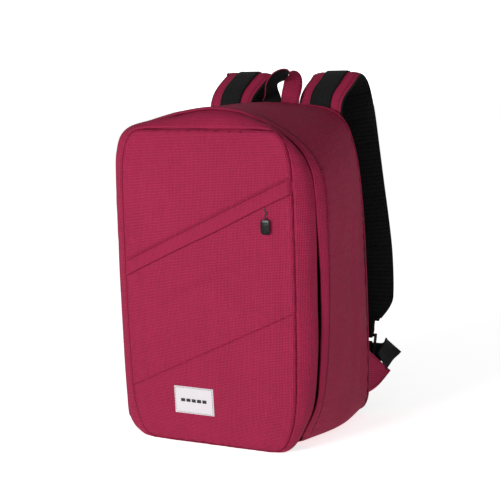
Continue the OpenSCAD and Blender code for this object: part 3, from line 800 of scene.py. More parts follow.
def zip_half(name, y_out, y_in, body, tape_node, coil_node):
    rows = 6
    P = np.array([at3(ZIP_O + outline_normals(ZIP_O) * 0.15 * math.sin(i),
        y_out + (y_in - y_out) * i / (rows - 1)) for i in range(rows)])
    tape = sheet_mesh(name + "_tape", P, M["tape"], True)
    add_thickness(tape, 0.8, 0)
    above(tape, FOLD_Z + 1)
    rides(tape, body, "zip_tape", tape_node)
    y0 = ZIP_MID + 0.1 * np.sign(y_out - ZIP_MID)
    y1 = ZIP_MID + 2.4 * np.sign(y_out - ZIP_MID)
    C = []
    for k, h in [(0, 0.5), (0.05, 1.5), (0.5, 2.1), (0.95, 1.5), (1, 0.5)]:
        C.append(at3(ZIP_O + outline_normals(ZIP_O) * h, y0 + (y1 - y0) * k))
    coil = sheet_mesh(name + "_coil", np.array(C), M["coil"], True, flip=y_out > ZIP_MID)
    swap_uv(coil)
    above(coil, FOLD_Z + 3)
    rides(coil, body, "zip_coil", coil_node)


zip_half("main_zip_rear", MOUTH_Y + 2, ZIP_MID + 1.4, "rear_section", "main_zip_tape_rear",
    "main_zip_coil_rear")
zip_half("main_zip_lid", LID_Y - 7, ZIP_MID - 1.4, "lid", "main_zip_tape_lid", "main_zip_coil_lid")

facing = sheet_mesh("zip_facing_cloth", np.array([at3(ZIP_O * (1 - t)
    + (MOUTH_O - outline_normals(MOUTH_O) * 1.5) * t, MOUTH_Y + 1.6 - 2 * t)
    for t in np.linspace(0, 1, 6)]), M["lining"], True)
above(facing, FOLD_Z - 10)
rides(facing, "rear_section", "lining_fabric", "zip_facing")

# ---- lid: the sloping band and its turned rear edge
def lid_band():
    rows = 26
    P = []
    ts = np.linspace(0, 1, rows) ** 1.25
    for t in ts:
        o = FRONT_O * (1 - t) + LID_O * t
        n = outline_normals(o)
        lift = 2.6 * math.sin(math.pi * t) + 0.8 * math.sin(math.pi * t) ** 3
        P.append(at3(o + n * (lift + 0.9 * smooth(t / 0.12)),
            FRONT_Y + 3.4 - 3.0 * smooth(t / 0.1) + (LID_Y - FRONT_Y - 1.5) * t
            - 1.2 * math.sin(math.pi * t)))
    n = outline_normals(LID_O)
    # the edge turns in and runs back under the band
    for back, inn in [(0.4, 0.5), (0.6, 1.3), (0.2, 2.0), (-2.0, 2.4), (-7.0, 3.2)]:
        P.append(at3(LID_O - n * inn, LID_Y - 0.5 + back))
    P = np.array(P)
    Nn = normals(P, True)
    if (Nn[4, :, 0] * np.sign(P[4, :, 0])).mean() < 0:
        Nn = -Nn
    s = np.broadcast_to(arc(P[8], True)[:RING], P.shape[:2])
    d = np.arange(len(P))[:, None] * 1.8 * np.ones(RING)
    outer = (np.clip((rows - np.arange(len(P))) / 4.0, 0, 1) * np.clip(np.arange(len(P)) / 3.0, 0, 1))[:,
        None]
    relief = pucker(s, d, 8, 0.8, 12, 11) + 1.0 * noise(P, [30, 30, 46], 12) + 0.5 * noise(P, [14, 16, 20],
        13)
    P = P + Nn * (relief * outer)[..., None]
    w = noise_along(s, 60, 14) * 1.2 + noise_along(s, 24, 15) * 0.5
    t = np.clip(np.arange(len(P)) / (rows - 1), 0, 1)[:, None]
    P[..., 1] += w * t
    P[..., 2] = np.maximum(P[..., 2], 0.4)
    return P


LP = lid_band()
band = sheet_mesh("lid_band", LP, M["shell"], True, flip=True)


def bends_at_fold(ob, slot_name, *nodes):
    """Cloth that runs on from the foot of the rear section into the lid: it is baked where it stands and
    rides on no body, and the nodes it stands for are hidden.
    """
    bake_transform(ob)
    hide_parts(*nodes)


bends_at_fold(band, "shell_fabric", "lid_gusset", "front_foot")

# ---- lid: the front panels
SLOPE = math.tan(math.radians(25.25))  # of the slanting pocket and seam
SLANT = math.cos(math.atan(SLOPE))
label_lo, label_hi = mm_box("label")
flap_lo, flap_hi = mm_box("pocket_flap")
up_lo, up_hi = mm_box("front_panel_upper")
mid_hi = mm_box("front_panel_middle")[1]
low_hi = mm_box("front_panel_lower")[1]
PANEL_HALF = up_hi[0]
ZIP_Z = (up_lo[2] + PANEL_HALF * SLOPE + mid_hi[2] - PANEL_HALF * SLOPE) / 2  # at the middle of the bag
SEAM_Z = low_hi[2] - PANEL_HALF * SLOPE
FLAP_TOP = flap_hi[2] - PANEL_HALF * SLOPE
FLAP_LOW = flap_lo[2] + PANEL_HALF * SLOPE


def front_depth(x, z):
    """How far the front panel's face stands in front of FRONT_Y, in mm, before any seam."""
    u, w = x / (0.81 * HALF_W), (z - 0.47 * TALL) / (0.47 * TALL)
    swell = 5.2 * np.clip(1 - np.abs(u) ** 2.6, 0, 1) ** 0.8 * np.clip(1 - np.abs(w) ** 3.2, 0, 1) ** 0.8
    p = np.stack([x, x * 0, z], -1)
    dents = 1.6 * noise(p, [70, 1, 90], 21) + 1.0 * noise(p, [32, 1, 40], 22) + 0.3 * noise(p, [13, 1, 18],
        23)
    # folds that start at the ends of the slanting pocket
    h = z - SLOPE * x
    pull = 1.1 * bump_at(z + 0.35 * x, 196, 13) * smooth((x + 30) / 60) * smooth((125 - x) / 30)
    pull += 0.9 * bump_at(z - 0.5 * x, 190, 12) * smooth((-x) / 50)
    pull -= 0.9 * bump_at(h, ZIP_Z - 44, 16) * bump_at(x, 70, 42)
    return swell + dents * 0.8 + pull


def edge_distance(x, z, o):
    """Distance to the outline o for arrays of points, in mm."""
    p = np.stack([x.ravel(), z.ravel()], 1)
    best = np.full(len(p), 1e9)
    a, b = o, np.roll(o, -1, 0)
    for i in range(len(o)):
        d = b[i] - a[i]
        t = np.clip(((p - a[i]) @ d) / max(d @ d, 1e-9), 0, 1)
        best = np.minimum(best, np.linalg.norm(p - (a[i] + t[:, None] * d), axis=1))
    return best.reshape(x.shape)


def front_grid(step=1.9):
    """Rows from the base to the top, each spanning the front outline."""
    zs_low, zs_high = FRONT_O[:, 1].min() + 0.15, FRONT_O[:, 1].max() - 0.15
    n = int((zs_high - zs_low) / step)
    e = np.linspace(0, 1, n)
    zs = zs_low + (zs_high - zs_low) * (e - 0.012 * np.sin(2 * math.pi * e))
    right = FRONT_O[:RING // 2 + 1]
    left = np.vstack([FRONT_O[RING // 2:], FRONT_O[:1]])[::-1]
    r = np.interp(zs, right[:, 1], right[:, 0])
    l = np.interp(zs, left[:, 1], left[:, 0])
    m = int(240 / step)
    u = np.linspace(0, 1, m)
    X = l[:, None] + (r - l)[:, None] * u
    Z = np.broadcast_to(zs[:, None], X.shape).copy()
    return X, Z


def front_mesh():
    X, Z = front_grid()
    D = np.minimum(edge_distance(X, Z, FRONT_O[::2]), 40)
    depth = front_depth(X, Z) * smooth(D / 26) + 3.0 * smooth(D / 3.4)
    ang = np.arctan2(Z - 0.47 * TALL, X * 1.6) * 110
    depth += pucker(ang, D, 8, 0.8, 12, 31) * smooth(D / 3)
    P = np.stack([X, FRONT_Y + 3.6 - depth, Z], -1)
    return P


def seam_relief(h):
    """Height of the cloth about a seam at h = 0: a groove, and a roll on the upper side."""
    return -1.3 * bump_at(h, 0, 1.2) + 0.5 * bump_at(h, 3.2, 2.4) + 0.15 * bump_at(h, -3.5, 2.5)


FG = front_mesh()
FX, FZ = FG[..., 0], FG[..., 2]
h_seam = (FZ - SLOPE * FX - SEAM_Z) * SLANT
along = FX / SLANT
FG[..., 1] -= seam_relief(h_seam) + pucker(along, np.abs(h_seam), 6, 0.32, 10, 33)
h_flap = (FZ - SLOPE * FX - FLAP_TOP) * SLANT
FG[..., 1] -= -0.9 * bump_at(h_flap, 0.3, 1.1) + 0.45 * bump_at(h_flap, 3.0, 2.2) + pucker(along,
    np.abs(h_flap), 6, 0.28, 9, 34)
h_zip = (FZ - SLOPE * FX - ZIP_Z) * SLANT
PULL_ROOM = smooth((h_zip + 62) / 16) * smooth((4 - h_zip) / 8)
FG[..., 1] += np.maximum(FRONT_Y - 2.4 - FG[..., 1], 0) * PULL_ROOM


def front_y(x, z):
    """Depth of the finished front face at points, read from the grid."""
    x, z = np.atleast_1d(x).astype(float), np.atleast_1d(z).astype(float)
    zi = np.clip(np.searchsorted(FZ[:, 0], z), 1, len(FZ) - 1)
    out = []
    for k in range(len(x)):
        i = zi[k]
        ya = np.interp(x[k], FX[i - 1], FG[i - 1, :, 1])
        yb = np.interp(x[k], FX[i], FG[i, :, 1])
        t = (z[k] - FZ[i - 1, 0]) / (FZ[i, 0] - FZ[i - 1, 0])
        out.append(ya + (yb - ya) * np.clip(t, 0, 1))
    return np.array(out)


def slice_front(name, low, high):
    """The part of the front face between two slanting lines, given by their heights at mid width."""
    ob = sheet_mesh(name, FG, M["shell"], False)
    n = np.array([-SLOPE, 0, 1]) / math.hypot(SLOPE, 1)
    return bisect(ob, n.tolist(), *[c for c in ((low, True), (high, False)) if c[0] is not None])


upper = slice_front("front_upper_panel", ZIP_Z + 6.0, None)
middle = slice_front("front_middle_panel", SEAM_Z, ZIP_Z - 6.0)
lower = slice_front("front_lower_panel", None, SEAM_Z)
for ob in (upper, middle, lower):
    add_thickness(ob, 0.9, 1.0)
rides(upper, "lid", "shell_fabric", "front_panel_upper")
rides(middle, "lid", "shell_fabric", "front_panel_middle")
bends_at_fold(lower, "shell_fabric", "front_panel_lower", "front_foot")


def slant_line(z_mid, x0, x1, lift=0.0, step=1.5):
    x = np.arange(x0, x1, step)
    z = z_mid + SLOPE * x
    return np.stack([x, front_y(x, z) - lift, z], 1)


# the pocket flap: a folded strip sewn along its top, standing proud at its lower fold
def flap_strip():
    x = np.linspace(-PANEL_HALF - 1.6, PANEL_HALF + 1.8, 130)
    prof = [(0.0, 0.4), (0.06, 1.7), (0.2, 2.5), (0.45, 3.1), (0.7, 3.6), (0.88, 3.9), (0.96, 3.6),
        (1.0, 2.9), (0.985, 2.2), (0.9, 1.9), (0.6, 1.6), (0.3, 1.0), (0.05, 0.2)]
    drop = FLAP_TOP - FLAP_LOW
    P = []
    for t, up in prof:
        sag = 0.9 * noise_along(x, 60, 41) * t
        z = FLAP_TOP - drop * t + SLOPE * x + sag
        base = front_y(x, z)
        e = smooth((PANEL_HALF + 2 - np.abs(x)) / 3.5)
        y = base - up * (0.1 + 0.9 * e)
        y = y - 0.5 * noise_on(x, x * 0, [26, 9, 9], 42, t * 9) * math.sin(math.pi * min(t, 1))
        y = y - 0.25 * noise_on(x, x * 0, [11, 6, 9], 43, t * 9)
        P.append(np.stack([x, y, z], 1))
    return np.array(P)


FLAPP = flap_strip()
pocket_flap = sheet_mesh("pocket_flap_fold", FLAPP, M["shell"], False, flip=True)
rides(pocket_flap, "lid", "shell_fabric", "pocket_flap")
line = FLAPP[2] + (FLAPP[1] - FLAPP[2]) * 0.3 + [0, -0.25, 0]
rides(stitches("pocket_flap_stitching", even(line[3:-3], 1.5), FORWARD, M["thread"], length=2.8,
    width=0.75), "lid", "shell_fabric")
low_stitch = slant_line(SEAM_Z + 4.6, -PANEL_HALF + 3, PANEL_HALF - 3, 0.3)
rides(stitches("lower_seam_stitching", low_stitch, FORWARD, M["thread"], length=2.8, width=0.7), "lid",
    "shell_fabric")

# pocket zip behind the flap
x = np.linspace(-PANEL_HALF + 2, PANEL_HALF - 2, 90)
rows = []
for d in np.linspace(-11, 11, 9):
    z = ZIP_Z + SLOPE * x + d
    rows.append(np.stack([x, np.full(len(x), FRONT_Y + 2.6), z], 1))
tape = sheet_mesh("pocket_zip_tape", np.array(rows), M["tape"], False)
add_thickness(tape, 0.6, -1)
rides(tape, "lid", "zip_tape", "front_zip_tape")
for sign, nm in ((1, "upper"), (-1, "lower")):
    C = []
    for k, up in [(0.1, 0.3), (0.4, 1.2), (1.3, 1.7), (2.2, 1.2), (2.7, 0.3)]:
        z = ZIP_Z + SLOPE * x + sign * k
        C.append(np.stack([x, np.full(len(x), FRONT_Y + 2.5 - up), z], 1))
    coil = sheet_mesh("pocket_zip_coil_" + nm, np.array(C), M["coil"], False, flip=sign < 0)
    swap_uv(coil)
    rides(coil, "lid", "zip_coil", "front_zip_coil")
rides(stitches("pocket_zip_tape_seam", slant_line(ZIP_Z + 8.2, -PANEL_HALF + 6, PANEL_HALF - 6, -2.0),
    FORWARD, M["black_thread"], width=0.5), "lid", "zip_tape", "front_zip_stops")

# ---- label with five plain bars in place of its word
LC, LH = (label_lo + label_hi) / 2, (label_hi - label_lo) / 2


def label_at(u, v, up):
    """A point on the label at u across and v up from its middle, in mm, standing up mm proud of the panel."""
    x, z = LC[0] + u, LC[2] + v
    return np.stack([x + 0 * z, front_y(x, z) - up, z + 0 * x], -1)


def label_patch(name, u0, u1, v0, v1, up, mat, step=0.8, turned=0.0):
    nu, nv = max(2, int((u1 - u0) / step)), max(2, int((v1 - v0) / step))
    U, V = np.meshgrid(np.linspace(u0, u1, nu), np.linspace(v0, v1, nv))
    P = label_at(U.ravel(), V.ravel(), up).reshape(nv, nu, 3)
    if turned:
        e = np.minimum(np.minimum(U - u0, u1 - U), np.minimum(V - v0, v1 - V))
        P[..., 1] += turned * bump_at(e, 0, 0.7)
    ob = sheet_mesh(name, P, mat)
    add_thickness(ob, 0.5, -1)
    return ob


lw, lh = LH[0], LH[2]
patch = label_patch("label_cloth", -lw, lw, -lh, lh, 1.5, M["label"], turned=0.8)
rides(patch, "lid", "label", "label")
edge_in = 1.8
corners = np.array([(-lw + edge_in, -lh + edge_in), (lw - edge_in, -lh + edge_in),
    (lw - edge_in, lh - edge_in), (-lw + edge_in, lh - edge_in), (-lw + edge_in, -lh + edge_in)])
rect = even(corners, 1.2)
line = label_at(rect[:, 0], rect[:, 1], 1.75)
rides(stitches("label_sewing", line, FORWARD, M["thread"], length=2.4, gap=0.9, width=0.45), "lid",
    "label", "label_stitching")
BAR_START, BAR_PITCH, BAR_LONG, BAR_HALF = -18.0, 7.6, 5.4, 1.9
marks = []
for k in range(5):
    u = BAR_START + k * BAR_PITCH
    marks.append(label_patch("mark_bar_%d" % k, u, u + BAR_LONG, -BAR_HALF, BAR_HALF, 2.0, M["label_mark"],
        0.6))
rides(join("label_motif", marks), "lid", "label")

# ---- pocket slider, its chain of cord and moulded pull
s_lo, s_hi = mm_box("front_slider")
c_lo, c_hi = mm_box("front_pull_cord")
p_lo, p_hi = mm_box("front_pull")


def lozenge(name, centre, half, mat, power=4.0, n=28, rows=9, tip=0.0):
    """A moulded body with rounded corners: half sizes along X, Y and Z; tip narrows it upward."""
    P = []
    for i in range(rows):
        a = -math.pi / 2 + math.pi * i / (rows - 1)
        r, h = math.cos(a) ** 0.45, math.sin(a)
        t = np.linspace(0, 2 * math.pi, n, endpoint=False)
        cx, cz = np.cos(t), np.sin(t)
        q = (np.abs(cx) ** power + np.abs(cz) ** power) ** (-1 / power)
        k = 1 - tip * (cz * q * 0.5 + 0.5)
        P.append(np.stack([centre[0] + half[0] * cx * q * r * k, np.full(n, centre[1] + half[1] * h),
            centre[2] + half[2] * cz * q * r], 1))
    P = np.array(P)
    faces = grid_faces(rows, n, True)
    return make(name, P.reshape(-1, 3), faces, grid_uv(P, True), mat)


sc, sh = (s_lo + s_hi) / 2, (s_hi - s_lo) / 2
eye_z = c_hi[2]
body = lozenge("slider_body", (sc[0] - 1, sc[1] + 0.6, sc[2]), (5.6, sh[1] * 0.55, 4.4), M["slider"],
    tip=0.35)

rides(body, "front_slider", "slider_metal")
rides(tube("slider_bridge", spline([(sc[0] - 5, sc[1] + 0.3, sc[2] - 2.0),
    (sc[0] - 3, s_lo[1] + 1.4, sc[2] - 0.8), (sc[0] + 2.0, s_lo[1] + 0.9, sc[2] + 0.6),
    (sc[0] + 5.0, sc[1] + 0.3, sc[2] + 2.2)], 8), 1.0, M["slider"], 10), "front_slider", "slider_metal",
    "front_slider")

cz0, cz1, cx, cy = p_hi[2] - 2.0, eye_z - 0.6, (c_lo[0] + c_hi[0]) / 2, (c_lo[1] + c_hi[1]) / 2
links = []
n_link = 4
for k in range(n_link):
    mid = cz0 + (cz1 - cz0) * (k + 0.5) / n_link
    a = np.linspace(0, 2 * math.pi, 25)[:-1]
    L, W = (cz1 - cz0) / n_link * 0.68, 1.5
    ring = np.stack([W * np.cos(a), 0 * a, L * np.sin(a)], 1)
    ang = math.radians(38 if k % 2 else -38)
    ring = np.stack([ring[:, 0] * math.cos(ang), ring[:, 0] * math.sin(ang), ring[:, 2]], 1) + [cx, cy, mid]
    ring = np.vstack([ring, ring[:1]])
    links.append(tube("link_%d" % k, ring, 0.55, M["cord"], 8))
rides(join("pull_chain", links), "front_pull", "cord", "front_pull_cord")
pc, ph = (p_lo + p_hi) / 2 - [0, 1.6, 0], (p_hi - p_lo) / 2
tab = lozenge("pull_tab", tuple(pc), (ph[0], ph[1], ph[2]), M["plastic"], power=5, n=40, rows=11)
ribs = [tab]
for k in range(4):
    z = pc[2] - ph[2] * 0.6 + k * ph[2] * 0.36
    rib_y = pc[1] - ph[1]
    ribs.append(tube("rib_%d" % k, [(pc[0] - ph[0] * 0.6, rib_y + 0.15, z), (pc[0], rib_y, z),
        (pc[0] + ph[0] * 0.6, rib_y + 0.15, z)], 0.45, M["plastic"], 8))
rides(join("pull_tab", ribs), "front_pull", "moulded_plastic", "front_pull")

# ---- back panel: padded mesh with sewn channels, a yoke across the top
yoke_lo = mm_box("yoke_panel")[0]


def back_grid(step=3.2):
    zs = np.arange(BACK_O[:, 1].min() + 1.0, BACK_O[:, 1].max() - 0.4, step)
    right = BACK_O[:RING // 2 + 1]
    left = np.vstack([BACK_O[RING // 2:], BACK_O[:1]])[::-1]
    r = np.interp(zs, right[:, 1], right[:, 0])
    l = np.interp(zs, left[:, 1], left[:, 0])
    u = np.linspace(0, 1, 90)
    X = l[:, None] + (r - l)[:, None] * u
    Z = np.broadcast_to(zs[:, None], X.shape).copy()
    return X, Z


YOKE_Z = yoke_lo[2] + 2
CHANNEL_X, CROSS_CHANNEL_Z = (-34.0, 34.0), (120.0, 215.0)
PAD_SUNK, PAD_PROUD = 3.2, 1.5  # the pad starts behind BACK_Y and stays within PAD_PROUD of it
BX, BZ = back_grid()
D = np.minimum(edge_distance(BX, BZ, BACK_O[::3]), 40)
quilt = 3.4 * (1 - np.exp(-(D / 9) ** 2))
for cx_ in CHANNEL_X:
    quilt -= 3.0 * bump_at(BX, cx_, 3.2) * smooth((YOKE_Z - 14 - BZ) / 10) * smooth((BZ - 24) / 10)
for cz_ in CROSS_CHANNEL_Z:
    quilt -= 2.4 * bump_at(BZ - 0.0006 * BX ** 2, cz_, 3.0) * smooth((96 - np.abs(BX)) / 8)
quilt -= 2.8 * bump_at(BZ, YOKE_Z, 2.6)
quilt += 1.0 * noise_on(BX, BZ, [46, 9, 40], 51) * smooth(D / 20)
BP = np.stack([BX, BACK_Y - PAD_SUNK + quilt, BZ], -1)
BP[..., 1] = np.minimum(BP[..., 1], BACK_Y + PAD_PROUD)


def back_y(x, z):
    i = np.clip(np.searchsorted(BZ[:, 0], z), 1, len(BZ) - 1)
    return np.array([np.interp(x, BX[i], BP[i, :, 1])])[0]


pad = sheet_mesh("back_pad", BP, M["mesh"], False, flip=True)
below(pad, YOKE_Z)
add_thickness(pad, 2.0, -1)
rides(pad, "rear_section", "mesh_fabric", "back_panel_mesh", "back_foam")
yoke = sheet_mesh("back_yoke", BP + [0, 0.3, 0], M["shell"], False, flip=True)
above(yoke, YOKE_Z)
add_thickness(yoke, 1.2, -1)
rides(yoke, "rear_section", "shell_fabric", "yoke_panel")
x = np.arange(-92, 92, 1.5)
rides(stitches("yoke_stitching", np.stack([x, np.array([back_y(a, YOKE_Z + 3.4) for a in x]) + 0.5,
    np.full(len(x), YOKE_Z + 3.4)], 1), BACKWARD, M["thread"], width=0.75), "rear_section", "shell_fabric")
channels = []
for k, cx_ in enumerate(CHANNEL_X):
    z = np.arange(30, YOKE_Z - 16, 1.5)
    channels.append(stitches("channel_%d" % k, np.stack([np.full(len(z), cx_),
        np.array([back_y(cx_, a) for a in z]) + 0.4, z], 1), BACKWARD, M["black_thread"], width=0.7))
rides(join("back_channel_stitching", channels), "rear_section", "mesh_fabric")

# bound seam round the back
B = BACK_O - outline_normals(BACK_O) * 0.8
P = []
for a in np.linspace(0, 2 * math.pi, 11)[:-1]:
    P.append(at3(B + outline_normals(BACK_O) * 1.5 * math.cos(a), BACK_Y - 1.4) + [0, 1.7 * math.sin(a), 0])
P = np.array(P + P[:1])
rides(sheet_mesh("back_binding", P, M["shell"], True), "rear_section", "shell_fabric", "back_seam_binding")

# ---- inside: lining of both halves, bottom board, laptop sleeve
LINING_INSET = 4.2


def inner_wall(name, keys, y0, y1, rows, inset, mat, body, slot_name, nodes=(), flip=False, seed=60):
    P = []
    for y in np.linspace(y0, y1, rows):
        o = between(keys, y)
        P.append(at3(o - outline_normals(o) * inset, y))
    P = np.array(P)
    Nn = normals(P, True)
    wr = 1.0 * noise(P, [46, 46, 60], seed) + 0.7 * noise(P, [18, 20, 26], seed + 1)
    e = smooth(np.minimum(np.arange(rows), rows - 1 - np.arange(rows)) / 3.0)[:, None]
    P = P + Nn * (wr * e)[..., None]
    ob = sheet_mesh(name, P, mat, True, flip=flip)
    return rides(ob, body, slot_name, *nodes), P


inner_wall("main_lining_wall", BODY_KEYS, MOUTH_Y + 4, BACK_Y - 8, 22, LINING_INSET, M["lining"],
    "rear_section", "lining_fabric", ("main_lining",))
back_in = sheet_mesh("back_lining_cloth", np.stack([BX * 0.975,
    np.full(BX.shape, BACK_Y - 8.5) - 1.2 * noise_on(BX, BZ, [50, 9, 60], 66), (BZ - 200) * 0.975 + 200],
    -1), M["lining"], False)
add_thickness(back_in, 1.0, -1)
rides(back_in, "rear_section", "lining_fabric", "back_lining")

# a stiff board under cloth on the base
bb_lo, bb_hi = mm_box("bottom_board")
U, V = np.meshgrid(np.linspace(bb_lo[0], bb_hi[0], 60), np.linspace(bb_lo[1], bb_hi[1], 48))
e = np.minimum(np.minimum(U - bb_lo[0], bb_hi[0] - U), np.minimum(V - bb_lo[1], bb_hi[1] - V))
board = sheet_mesh("base_board_cover", np.stack([U, V, bb_hi[2] + 1.0 - 2.2 * bump_at(e, 0, 2.2)
    + 0.3 * noise(np.stack([U, V, U * 0], -1), 40, 71)], -1), M["lining"])
add_thickness(board, 2.0, -1)
rides(board, "rear_section", "lining_fabric", "bottom_board")

# padded laptop sleeve with a bound top edge and gathered sides
sl_lo, sl_hi = mm_box("laptop_sleeve")
sb_lo, sb_hi = mm_box("sleeve_binding")
sg_lo, sg_hi = mm_box("sleeve_gusset")
U, V = np.meshgrid(np.linspace(sl_lo[0], sl_hi[0], 110), np.linspace(sl_lo[2], sb_lo[2] + 1, 120))
e = np.minimum(np.minimum(U - sl_lo[0], sl_hi[0] - U), V - sl_lo[2])
puff = 2.2 * (1 - np.exp(-(e / 8) ** 2)) + 1.0 * noise_on(U, V, [50, 9, 60], 72) - 1.4 * bump_at(e, 7, 1.4)
for q in range(-3, 4):
    puff -= 0.9 * bump_at((U - V * 0.55) / 1.14, q * 62.0, 2.0) + 0.9 * bump_at((U + V * 0.55
        - 160) / 1.14, q * 62.0, 2.0)
face = np.stack([U, sl_lo[1] + 1.0 - puff, V], -1)
rear = np.stack([U, sl_hi[1] + 0.3 * puff, V], -1)
shell_pts = np.concatenate([face, rear[::-1]], 0)
sleeve = sheet_mesh("laptop_sleeve_pad", shell_pts, M["lining"], False)
rides(sleeve, "rear_section", "lining_fabric", "laptop_sleeve")
x = np.linspace(sb_lo[0] - 6, sb_hi[0] + 6, 70)
yc, zc = (sl_lo[1] + sl_hi[1]) / 2, sb_lo[2] + 0.8
rim = np.stack([x, yc + 0.5 * noise_along(x, 40, 73), zc + 0.6 * noise_along(x, 60, 74)], 1)
rides(tube("sleeve_edge_tape", rim, 4.2, M["webbing"], 14, 0.9), "rear_section", "webbing",
    "sleeve_binding")
sides = []
for s in (-1, 1):
    z = np.linspace(sg_lo[2], sg_hi[2], 60)
    P = np.array([np.stack([s * (sl_hi[0] - 1.5 + 2.2 * math.sin(t * 9) * (1 - t))
        + 0.8 * noise(np.stack([z, z * 0 + t * 30, z * 0], -1), 22, 75),
        sl_hi[1] + (sg_hi[1] - sl_hi[1]) * t + 0 * z, z], 1) for t in np.linspace(0, 1, 10)])
    sides.append(sheet_mesh("sleeve_side", P, M["lining"]))
side_cloth = join("sleeve_side_gathers", sides)
add_thickness(side_cloth, 0.8, 0)
rides(side_cloth, "rear_section", "lining_fabric", "sleeve_gusset")

# lid lining over its foam
lf_hi = mm_box("lid_foam")[1]
FX2, FZ2 = front_grid(4.0)
D2 = np.minimum(edge_distance(FX2, FZ2, FRONT_O[::3]), 40)
lid_y = lf_hi[1] + 1.4 + 1.6 * (1 - np.exp(-(D2 / 10) ** 2)) + 1.4 * noise_on(FX2, FZ2, [60, 9, 70],
    76) + 0.5 * noise_on(FX2, FZ2, [20, 9, 26], 77)
lid_in = sheet_mesh("lid_lining_cloth", np.stack([FX2 * 0.985, lid_y, FZ2 * 0.985 + 3], -1), M["lining"],
    False, flip=True)
above(lid_in, FOLD_Z)
add_thickness(lid_in, 0.8, -1)
rides(lid_in, "lid", "lining_fabric", "lid_foam", "lid_lining", "pocket_bag")
P = []
for t in np.linspace(0, 1, 8):
    o = (FRONT_O * (1 - t) + ZIP_O * t)
    P.append(at3(o - outline_normals(o) * 2.6 * (1 - t), lf_hi[1] + (ZIP_MID - 3 - lf_hi[1]) * t))
lid_side = sheet_mesh("lid_side_lining", np.array(P), M["lining"], True, flip=True)
above(lid_side, FOLD_Z)
rides(lid_side, "lid", "lining_fabric")

# ---- shoulder straps
root_lo, root_hi = mm_box("strap_root_right")
foam_lo, foam_hi = mm_box("strap_foam_right")
lock_lo, lock_hi = mm_box("ladder_lock_right")
tail_lo, tail_hi = mm_box("adjuster_tail_right")
STRAP_X = (root_lo[0] + root_hi[0]) / 2
STRAP_W = root_hi[0] - root_lo[0]
WEB_W = tail_hi[0] - tail_lo[0]
STRAP_Y = (root_lo[1] + root_hi[1]) / 2
STRAP_Z = root_hi[2] + 2
# The centre line as (sideways, backward, up) from the sewn end, as shares of the pad's reach.
REACH = np.array([lock_lo[0] / 2 + lock_hi[0] / 2 - STRAP_X, foam_hi[1] - STRAP_Y, STRAP_Z - foam_lo[2]])
STRAP_LINE = [(0, 0, -0.12), (0, 0.02, -0.05), (0, 0.10, -0.01), (0, 0.22, 0.022), (0, 0.38, 0.053),
    (-0.03, 0.54, 0.077), (-0.03, 0.68, 0.083),
              (0.04, 0.81, 0.064), (0.12, 0.90, 0.03), (0.21, 0.94, -0.02), (0.36, 0.955, -0.105),
              (0.54, 0.955, -0.24), (0.75, 0.94, -0.39),
              (0.93, 0.915, -0.55), (1.07, 0.885, -0.69), (1.14, 0.855, -0.82), (1.14, 0.80, -0.915),
              (1.07, 0.71, -1.0)]


# Both straps lean to the left, in mm: on the back, at the root, and less at the hump.
LEAN, ROOT_LEAN, HUMP_LEAN = 3, 8, 2
LEAN_TOP, LEAN_FADE = 120, 80  # where down the back the first one fades, and over how far


def strap_path(s):
    pts = np.array(STRAP_LINE) * REACH
    back = np.clip(pts[:, 1] / REACH[1], 0, 1)
    lean = LEAN * np.sin(back * math.pi / 2) * np.clip(1 + (pts[:, 2] + LEAN_TOP) / LEAN_FADE, 0, 1)
    lean += ROOT_LEAN * (1 - smooth(pts[:, 1] / REACH[1] / 0.5)) - HUMP_LEAN * bump_at(pts[:,
        1] / REACH[1], 0.6, 0.2)
    p = np.stack([s * (STRAP_X + pts[:, 0]) - lean, STRAP_Y + pts[:, 1], STRAP_Z + pts[:, 2]], 1)
    return even(spline(p, 14), 2.6)


